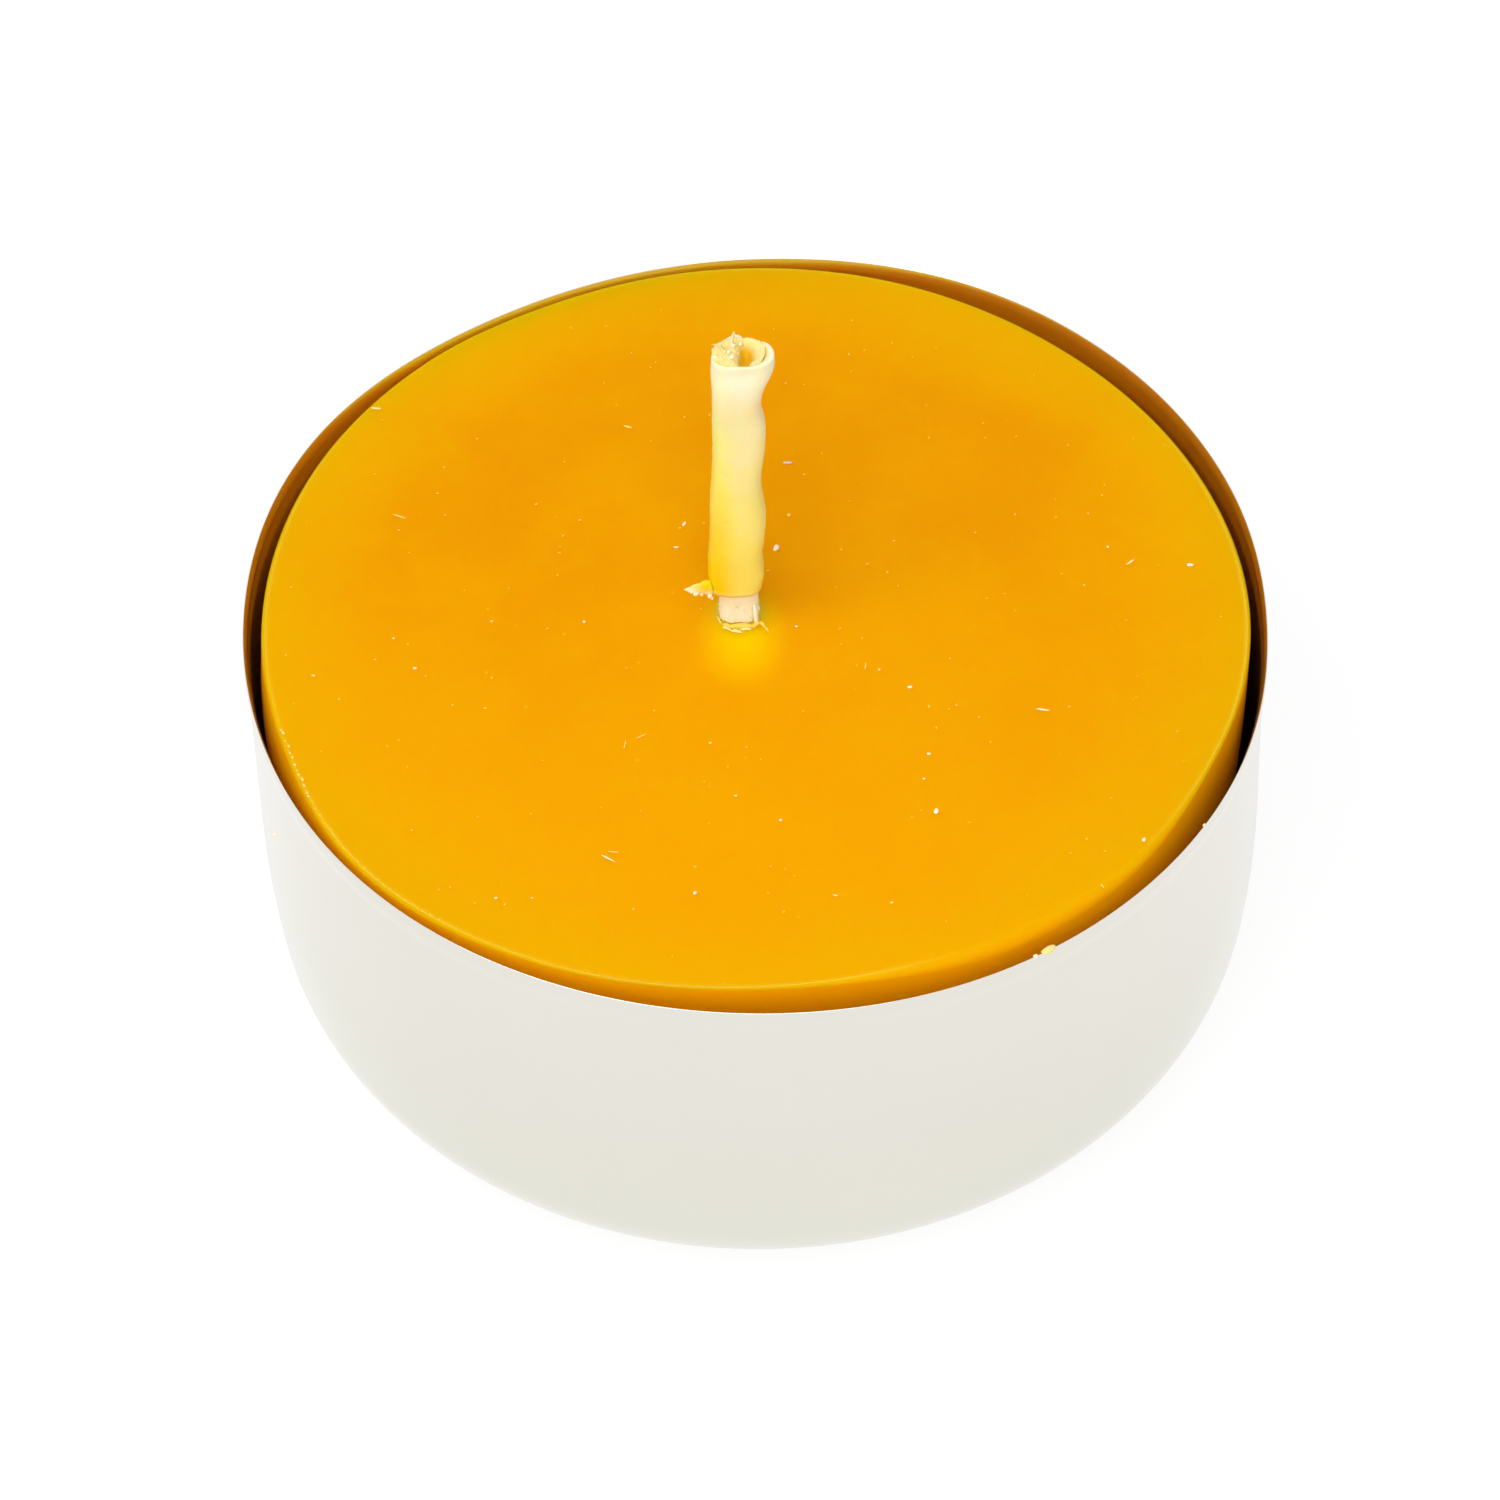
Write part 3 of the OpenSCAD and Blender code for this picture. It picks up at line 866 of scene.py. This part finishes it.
def build_wick(material):
    """The braided cotton wick with its frayed cut end and its loose fibres."""
    angles = turns(96)
    rings = []
    hollow = []
    for z in np.arange(WICK_LOW_Z, BRAID_TOP_Z, BRAID_STEP):
        rings.append(ring(WICK_X, WICK_Y, wick_outline(angles, 0) - braid_relief(angles, z), z, angles))
        hollow.append(np.zeros_like(angles))
    opening = coat_opening(angles, 0.03)
    for share in np.linspace(1, 0.04, 26):
        cut = ring(WICK_X, WICK_Y, opening * share, 0, angles)
        cut[:, 2] = fray_z(cut)
        rings.append(cut)
        # Painted shade that deepens down into the pit of the cut end.
        hollow.append(smooth_step(29.92, 29.55, cut[:, 2]))
    middle = np.array((WICK_X, WICK_Y, 0.0))
    top_pole = (WICK_X, WICK_Y, float(fray_z(middle)))
    shells = [skin(rings, (WICK_X, WICK_Y, WICK_LOW_Z), top_pole)]
    shells += cut_end_fibres() + foot_fibres()
    piece = make_piece("braided_wick", shells, material, "wick")
    paint(piece, "hollow", np.concatenate(hollow))
    return piece


def cut_end_fibres():
    """Fibres that lie over the cut end, and the one whose tip hangs over the back of the lip."""
    draw = random.Random(5)
    shells = []
    for _ in range(CUT_END_FIBRES):
        start = np.array((WICK_X + draw.uniform(-0.62, 0.15), WICK_Y + draw.uniform(-0.45, 0.5), 0))
        turn = math.radians(draw.uniform(20, 160))
        length = draw.uniform(0.15, 0.4)
        steps = np.linspace(0, 1, 8)[:, None]
        path = start + steps * length * np.array((math.cos(turn), math.sin(turn), 0))
        path[:, 2] = fray_z(path) + 0.04 * np.sin(steps[:, 0] * math.pi) - 0.01
        path[:, 2] = np.minimum(path[:, 2], FRAY_LIMIT_Z)
        radius = draw.uniform(0.014, 0.03)
        shells.append(tube(path, radius * (1 - 0.4 * steps[:, 0]), 6))
    tip = np.array(((-0.12, 0.35, 29.95), (-0.09, 0.55, 30.04), (-0.05, 0.75, 30.09), (0.0, 0.92, 30.08)))
    shells.append(tube(tip + (WICK_X, WICK_Y, 0), (0.045, 0.05, 0.05, 0.035), 10))
    return shells


def foot_fibres():
    """Fibres that stand off the wick's bare foot, and one thicker strand at its right."""
    draw = random.Random(8)
    shells = []
    for _ in range(FOOT_FIBRES):
        turn = math.radians(draw.uniform(180, 360))
        out = np.array((math.cos(turn), math.sin(turn), 0))
        reach = float(wick_outline(math.degrees(turn), 0)) - 0.06
        start = np.array((WICK_X, WICK_Y, draw.uniform(16.75, 17.9))) + out * reach
        steps = np.linspace(0, 1, 7)[:, None]
        along = np.array((-out[1], out[0], 0)) * draw.uniform(-0.12, 0.12)
        rise = (0, 0, draw.uniform(-0.4, 0.4))
        path = start + steps * (along + rise) + out * 0.05 * np.sin(steps * math.pi)
        shells.append(tube(path, np.full(len(path), draw.uniform(0.014, 0.022)), 5))
    strand = np.array(((0.56, -0.62, 17.5), (0.6, -0.66, 17.15), (0.62, -0.68, 16.85), (0.63, -0.67, 16.6)))
    shells.append(tube(strand + (WICK_X, WICK_Y, 0), (0.05, 0.08, 0.09, 0.07), 12))
    return shells


def coat_ring(z, angles):
    """Ring of the coat's outside. Height is a number, or one value for each angle."""
    height = z - COAT_LOW_Z
    left = smooth_lookup(COAT_LEFT, height)
    right = smooth_lookup(COAT_RIGHT, height)
    power = 3 - 0.8 * smooth_step(HEAD_Z, HEAD_Z + 1, z)
    radians = np.radians(angles)
    across = np.abs(np.cos(radians)) / ((right - left) / 2)
    deep = np.abs(np.sin(radians)) / smooth_lookup(COAT_DEPTH, height)
    radius = (across ** power + deep ** power) ** (-1 / power)
    middle = (left + right) / 2
    at_head = smooth_step(HEAD_Z + 0.4, COAT_TOP_Z - 0.5, z)
    radius = radius + (smooth_lookup(HEAD_LINE, angles, 360) - radius) * at_head
    points = ring(0, WICK_Y, radius, z, angles)
    points[:, 0] += WICK_X + middle + (HEAD_SHIFT - middle) * at_head
    outward = np.stack((np.cos(radians), np.sin(radians), np.zeros_like(radians)), -1)
    bumps = 0.03 * rough(points, 1.2, 3) + 0.014 * rough(points, 0.35, 5)
    return points + outward * bumps[:, None]


def coat_lip(outer, inner, shoulder_z):
    """Rings over the coat's uneven round lip, from its outside to its opening."""
    rings = []
    for turn in LIP_TURNS:
        across = (1 - math.cos(math.radians(turn))) / 2
        points = outer * (1 - across) + inner * across
        points[:, 2] = shoulder_z + LIP_ROUND * math.sin(math.radians(turn))
        points[:, 2] += 0.035 * rough(points, 0.2, 8) * math.sin(math.radians(turn))
        points[:, 2] = np.minimum(points[:, 2], COAT_TOP_Z - 0.005)
        rings.append(points)
    return rings


def build_coat(material):
    """The dipped wax coat, open at its head, with the flake that curls out at its foot."""
    angles = turns(120)
    right_side = np.clip(np.cos(np.radians(angles)), 0, 1) ** 2
    lip_z = COAT_TOP_Z - smooth_lookup(LIP_DROP, angles, 360)
    rings = []
    hollow = []
    pale = []

    def add(points, depth, paleness=0.0):
        rings.append(points)
        hollow.append(np.broadcast_to(depth, angles.shape))
        pale.append(np.broadcast_to(paleness, angles.shape))

    for z in np.linspace(COAT_LOW_Z, HEAD_Z, 100):
        add(coat_ring(z, angles), 0, 0.6 * hump((z - COAT_LOW_Z) / 0.1))
    shoulder_z = lip_z - LIP_ROUND
    for share in np.linspace(0.04, 1, 26):
        add(coat_ring(HEAD_Z + (shoulder_z - HEAD_Z) * share, angles), 0)
    inner = ring(WICK_X, WICK_Y, coat_opening(angles, 0), 0, angles)
    # The hollow share is painted shade over the lip's inner right side and down into the opening.
    for turn, points in zip(LIP_TURNS, coat_lip(rings[-1], inner, shoulder_z)):
        add(points, smooth_step(60, 180, turn) * right_side)
    for depth in (0.3, 0.6, 1):
        z = shoulder_z + (PIT_Z - shoulder_z) * depth
        add(ring(WICK_X, WICK_Y, coat_opening(angles, 0), z, angles), 0.3 + 0.6 * depth)
    for z in (28.8, 24, COAT_LOW_Z + 0.12):
        add(ring(WICK_X, WICK_Y, wick_outline(angles, FIT), z, angles), 0)
    flake_shell, flake_pale = flake()
    shells = [skin(rings, closed=True), flake_shell]
    piece = make_piece("dipped_coat", shells, material, "wick_wax_coat")
    paint(piece, "hollow", np.concatenate(hollow))
    paint(piece, "pale", np.concatenate(pale + [flake_pale]))
    return piece


def flake():
    """The ragged flake of wax at the coat's lower left, and how pale its points are."""
    # Along the flake, from the wick's axis: x, distance to the front, height, half width
    rows = [
        (-0.8, 0.5, 18.4, 0.3), (-1.02, 0.55, 18.38, 0.32), (-1.2, 0.57, 18.43, 0.34),
        (-1.4, 0.58, 18.38, 0.26), (-1.6, 0.58, 18.34, 0.21), (-1.82, 0.57, 18.33, 0.12),
        (-1.98, 0.55, 18.33, 0.03),
    ]
    flatness = 2.2
    xs, fronts, heights, halves = np.array(rows).T
    fine = np.linspace(0, len(rows) - 1, 25)
    index = np.arange(len(rows))
    path = np.stack([np.interp(fine, index, column) for column in (xs, -fronts, heights)], -1)
    radii = np.interp(fine, index, halves) / flatness
    points, faces = tube(path + (WICK_X, WICK_Y, 0), radii, 20, flatness)
    points = points + 0.05 * rough(points, 0.18, 2)[:, None] * (0.4, 1, 1)
    low = smooth_step(18.5, 18.2, points[:, 2])
    out = smooth_step(WICK_X - 1.2, WICK_X - 1.9, points[:, 0])
    return (points, faces), np.clip(0.75 * low + 0.6 * out, 0, 0.9)


# Pale grains on the flake and the coat's lip, from the wick's axis: x, y, height, size, tone
COAT_GRAINS = [
    (-1.7, -0.64, 18.3, 0.2, 0.8), (-1.55, -0.66, 18.2, 0.24, 0.8), (-1.36, -0.67, 18.16, 0.16, 0.6),
    (-1.05, -0.68, 18.1, 0.24, 0.75), (-0.98, -0.68, 17.97, 0.15, 0.75), (1.05, 0.3, 29.93, 0.24, 0.6),
    (-0.7, 0.22, 29.86, 0.24, 0.75), (-0.68, -0.14, 29.84, 0.28, 0.8), (-0.1, -0.25, 29.98, 0.2, 0.85),
    (-0.2, 0.0, 30.0, 0.17, 0.85), (0.22, 0.4, 30.0, 0.2, 0.7), (-0.05, 0.3, 30.02, 0.2, 0.85),
]
# Thin raised lines on the coat's front: x and z at each end, from the wick's axis, thickness and tone
COAT_LINES = [(-0.68, 24.76, -0.12, 23.97, 0.028, 0.65), (-0.62, 21.95, -0.4, 21.88, 0.02, 0.5)]
# Folds of wax in front of the wick's foot: x and y at each end, from the wick's axis, thickness and tone
FOOT_FOLDS = [
    (-0.6, -0.85, -0.27, -1.03, 0.05, 0.5), (-0.3, -1.03, 0.08, -1.12, 0.055, 0.6),
    (0.04, -0.98, 0.43, -0.97, 0.05, 0.55), (0.75, -0.58, 0.95, -0.88, 0.07, 0.15),
    (0.93, -0.85, 1.06, -1.1, 0.05, 0.15), (-0.81, -0.3, -0.68, -0.65, 0.05, 0.2),
    (-0.4, -0.83, 0.6, -0.83, 0.11, 0.1), (0.5, -0.82, 0.82, -0.6, 0.09, 0.1),
    (-0.6, -0.75, -0.3, -0.85, 0.09, 0.1),
]


def coat_line(x_from, z_from, x_to, z_to, thickness):
    """Thin ridge that follows the coat's front."""
    steps = np.linspace(0, 1, 9)
    path = []
    for step in steps:
        z = z_from + (z_to - z_from) * step
        x = WICK_X + x_from + (x_to - x_from) * step
        front = coat_ring(z, np.arange(200.0, 341.0, 2))
        path.append((x, np.interp(x, front[:, 0], front[:, 1]) + 0.3 * thickness, z))
    return tube(path, thickness * np.sin(math.pi * (0.1 + 0.8 * steps)), 8)


def foot_fold(x_from, y_from, x_to, y_to, thickness):
    """Small fold that lies on the puck's top."""
    steps = np.linspace(0, 1, 8)
    path = []
    for step in steps:
        x = WICK_X + x_from + (x_to - x_from) * step
        y = WICK_Y + y_from + (y_to - y_from) * step
        path.append((x, y, PUCK_TOP_Z + 0.07 + 0.04 * math.sin(math.pi * step)))
    widths = thickness * (0.5 + 0.5 * np.sin(math.pi * steps)) * (1 + 0.3 * rough(path, 0.15, 3))
    return tube(path, widths, 8)


# Crumbs and shavings on the puck's top: x, y, length, width, direction, tone
CRUMBS = [
    (-4.8, 10.2, 0.35, 0.09, -20, 0.3), (1.2, 8.2, 0.4, 0.14, 0, 1), (-2.7, 5.1, 0.24, 0.13, 60, 0.7),
    (-3.0, 3.9, 0.2, 0.11, 0, 0.6), (1.2, 5.5, 0.13, 0.12, 0, 0.4), (0.7, 3.8, 0.3, 0.22, 70, 0.85),
    (-13.3, 5.7, 0.55, 0.06, -25, 0.3), (-14.3, 11.4, 0.4, 0.1, -10, 0.6), (-9.8, 0.3, 0.12, 0.1, 0, 0.3),
    (-6.4, 0.2, 0.14, 0.12, 0, 0.6), (-13.4, -0.5, 0.12, 0.1, 0, 0.5), (-12.6, -2.0, 0.16, 0.13, 0, 0.6),
    (-16.3, -2.3, 0.16, 0.12, 0, 0.3), (1.4, -0.2, 0.14, 0.08, -20, 0.7), (3.9, -2.2, 0.4, 0.06, 85, 0.2),
    (4.4, -2.4, 0.12, 0.09, 0, 0.5), (5.5, -3.3, 0.17, 0.13, 0, 0.85), (10.3, -4.5, 0.5, 0.09, -12, 0.7),
    (13.0, 3.6, 0.14, 0.12, 0, 0.5), (13.8, 2.8, 0.38, 0.08, 40, 0.6), (16.0, 2.6, 0.26, 0.13, 0, 0.85),
    (6.1, -6.6, 0.16, 0.13, 0, 0.7), (5.9, -7.8, 0.12, 0.1, 0, 0.5), (6.3, -9.4, 0.26, 0.17, 80, 0.9),
    (13.7, -10.9, 0.2, 0.14, 70, 0.8), (-0.9, -8.5, 0.12, 0.1, 0, 0.5), (0.7, -9.7, 0.14, 0.12, 0, 0.6),
    (-1.8, -5.9, 0.13, 0.1, 0, 0.4), (-4.9, -5.9, 0.4, 0.06, 80, 0.2), (-4.3, -5.5, 0.5, 0.05, 30, 0.2),
    (-5.5, -11.4, 0.6, 0.07, -35, 0.7), (-5.3, -11.1, 0.4, 0.06, -10, 0.4), (-9.5, -13.2, 0.14, 0.12, 0, 0.5),
    (-2.4, -13.1, 0.18, 0.13, 60, 0.8), (2.6, -13.3, 0.2, 0.07, -10, 0.6), (4.6, -13.7, 0.12, 0.1, 0, 0.5),
    (12.1, -13.0, 0.32, 0.06, -55, 0.3),
]


# Crumbs that stick to the cup: angle, height, length, width, tone
METAL_CRUMBS = [
    (302, 16.68, 0.65, 0.24, 0.5), (300.3, 16.68, 0.22, 0.14, 0.8), (326.8, 16.68, 0.16, 0.1, 0.6),
    (198.6, 12, 0.2, 0.14, 0.8),
]
FINE_SPECKS = 150
# The puck's edge is nibbled from this angle on: coarsely over the first stretch, finely over the second
NIBBLED_FROM = 197.5
COARSE_NIBBLES = 13
COARSE_STRETCH = 12
FINE_NIBBLES = 21
FINE_STRETCH = 24


def scattered_crumbs():
    """Crumbs and shavings on the puck's top, each a skin and its tone."""
    rows = []
    for index, (x, y, length, width, direction, tone) in enumerate(CRUMBS):
        place = (x, y, puck_z(x, y) + width * 0.1)
        rows.append((lump(place, length, width, width * 0.7, direction, index), tone))
    return rows


def coat_details():
    """Grains and lines on the coat, and the folds in front of the wick's foot."""
    rows = []
    for index, (x, y, z, size, tone) in enumerate(COAT_GRAINS):
        grain = lump((WICK_X + x, WICK_Y + y, z), size, 0.75 * size, 0.8 * size, 25 * index, 30 + index)
        rows.append((grain, tone))
    rows += [(coat_line(*shape), tone) for *shape, tone in COAT_LINES]
    rows += [(foot_fold(*shape), tone) for *shape, tone in FOOT_FOLDS]
    return rows


def fine_specks(draw):
    """Fine specks all over the puck's top."""
    rows = []
    for index in range(FINE_SPECKS):
        r = PUCK_R * 0.96 * math.sqrt(draw.random())
        turn = draw.uniform(0, 2 * math.pi)
        x = PUCK_X + r * math.cos(turn)
        y = PUCK_Y + r * math.sin(turn)
        size = draw.uniform(0.04, 0.075)
        place = (x, y, puck_z(x, y))
        speck = lump(place, size * draw.uniform(1, 2), size, 0.5 * size, draw.uniform(0, 180), 200 + index)
        rows.append((speck, draw.uniform(0, 0.25)))
    return rows


def nibbled_edge(draw):
    """Row of crumbs where the puck's left edge is nibbled."""
    rows = []
    for index in range(COARSE_NIBBLES + FINE_NIBBLES):
        coarse = index < COARSE_NIBBLES
        if coarse:
            along = COARSE_STRETCH * index / COARSE_NIBBLES
        else:
            along = COARSE_STRETCH + FINE_STRETCH * (index - COARSE_NIBBLES) / FINE_NIBBLES
        angle = NIBBLED_FROM + along + draw.uniform(-0.3, 0.3)
        r = float(puck_line_r(angle)) + draw.uniform(-0.06, 0.04)
        x = PUCK_X + r * math.cos(math.radians(angle))
        y = PUCK_Y + r * math.sin(math.radians(angle))
        size = draw.uniform(0.07, 0.12) if coarse else draw.uniform(0.04, 0.07)
        tone = draw.uniform(0.2, 0.5) if coarse else 0.15
        place = (x, y, puck_z(x, y) + 0.01)
        crumb = lump(place, size * draw.uniform(1, 1.8), size, 0.8 * size, angle + 90, 60 + index)
        rows.append((crumb, tone))
    return rows


def cup_crumbs():
    """Crumbs on the cup's rim and wall."""
    rows = []
    for index, (angle, z, length, width, tone) in enumerate(METAL_CRUMBS):
        r = float(wall_r(z)) if z < RIM_Z - BAND_H else RIM_R - 0.06
        r += float(wall_sway(angle, z))
        place = (r * math.cos(math.radians(angle)), r * math.sin(math.radians(angle)), z)
        rows.append((lump(place, length, width, width, angle + 90, 100 + index), tone))
    return rows


def build_crumbs(material):
    """All the loose wax on the puck, the coat and the cup."""
    draw = random.Random(11)
    rows = scattered_crumbs() + coat_details()
    rows += fine_specks(draw)
    rows += nibbled_edge(draw)
    rows += cup_crumbs()
    piece = make_piece("wax_crumbs", [shell for shell, _ in rows], material)
    paint(piece, "tone", np.concatenate([np.full(len(points), tone) for (points, _), tone in rows]))
    return piece


# Camera at the photograph's angle. Its axis passes a little in front of the rim's centre.
CAMERA_RISE = 46.934
CAMERA_DISTANCE = 285
CAMERA_LENS = 186.08
CAMERA_SENSOR = 36
# Small turns that bring the object to its place in the picture
CAMERA_TURNS = ((0.075, "Y"), (-0.9631, "X"), (-0.861, "Z"))


def build_camera():
    """Camera that looks down on the front."""
    rise = math.radians(CAMERA_RISE)
    camera_data = bpy.data.cameras.new("camera")
    camera_data.lens = CAMERA_LENS
    camera_data.sensor_width = CAMERA_SENSOR
    camera_data.clip_start = 0.01
    camera = bpy.data.objects.new("camera", camera_data)
    back = Vector((0, -math.cos(rise), math.sin(rise)))
    place = (Vector((0, 0, RIM_Z)) + back * CAMERA_DISTANCE) * MM
    turn = Matrix.Rotation(math.pi / 2 - rise, 4, "X")
    for angle, axis in CAMERA_TURNS:
        turn = turn @ Matrix.Rotation(math.radians(angle), 4, axis)
    camera.matrix_world = Matrix.Translation(place) @ turn
    bpy.context.scene.collection.objects.link(camera)
    bpy.context.scene.camera = camera


# Strength of the white surroundings on the object. They are full white where they are seen or mirrored.
SURROUNDINGS = 0.58
# Lamps: name, direction, distance and size in metres, and level where they strike squarely
LAMPS = [
    ("soft_key", (-5.9, -2.9, 13.65), 0.4, 0.15, 0.18),
    ("front_fill", (-1, -6, 7), 0.7, 0.6, 0.44),
]
# Half the floor's width in metres
FLOOR_HALF = 1.5


def seen_share(tree):
    """1 for rays from the camera and for mirrored and refracted ones, else 0."""
    path = node(tree, "LightPath").outputs
    either = math_node(tree, "MAXIMUM", path["Is Camera Ray"], path["Is Glossy Ray"])
    return math_node(tree, "MAXIMUM", either, path["Is Transmission Ray"])


def build_light():
    """White surroundings, a soft lamp from the upper left and a wide one from the front."""
    world = bpy.data.worlds.new("studio")
    bpy.context.scene.world = world
    world.use_nodes = True
    world.cycles.sampling_method = "NONE"
    tree = world.node_tree
    strength = span(tree, seen_share(tree), 0, 1, SURROUNDINGS, 1.0)
    tree.links.new(strength, tree.nodes["Background"].inputs["Strength"])
    tree.nodes["Background"].inputs["Color"].default_value = (1, 1, 1, 1)
    for name, direction, distance, size, level in LAMPS:
        add_lamp(name, Vector(direction), distance, size, level)


def add_lamp(name, direction, distance, size, level):
    """Adds a disk lamp that shines at the object from a direction."""
    lamp_data = bpy.data.lights.new(name, "AREA")
    lamp_data.shape = "DISK"
    lamp_data.size = size
    lamp_data.energy = level * math.pi ** 2 * (distance ** 2 + size ** 2 / 4)
    lamp = bpy.data.objects.new(name, lamp_data)
    lamp.location = direction.normalized() * distance
    lamp.rotation_euler = direction.to_track_quat("Z", "Y").to_euler()
    bpy.context.scene.collection.objects.link(lamp)


def build_floor():
    """Pale floor that reads as white and keeps the object's shadow."""
    half = FLOOR_HALF
    corners = [(-half, -half, 0), (half, -half, 0), (half, half, 0), (-half, half, 0)]
    mesh = bpy.data.meshes.new("floor")
    mesh.from_pydata(corners, [], [(0, 1, 2, 3)])
    material = bpy.data.materials.new("pale_floor")
    material.use_nodes = True
    tree = material.node_tree
    tree.nodes.remove(tree.nodes["Principled BSDF"])
    matt = node(tree, "BsdfDiffuse", {"Color": (0.92, 0.92, 0.92, 1)})
    white = node(tree, "Emission", {"Color": (1, 1, 1, 1), "Strength": 1.06})
    share = times(tree, seen_share(tree), 0.8)
    mix = node(tree, "MixShader", {0: share, 1: matt.outputs[0], 2: white.outputs[0]})
    tree.links.new(mix.outputs[0], tree.nodes["Material Output"].inputs["Surface"])
    mesh.materials.append(material)
    floor = bpy.data.objects.new("floor", mesh)
    bpy.context.scene.collection.objects.link(floor)


def dress_sustainer(material):
    """Gives the sustainer's solid its material."""
    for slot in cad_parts["wick_sustainer"].material_slots:
        slot.material = material


def main():
    """Builds the whole scene."""
    bpy.context.scene.view_settings.view_transform = "Standard"
    build_camera()
    build_light()
    build_floor()
    build_cup(aluminium())
    build_puck(beeswax())
    build_wick(cotton())
    build_coat(coat_wax())
    build_crumbs(crumb_wax())
    dress_sustainer(tinned_steel())


main()
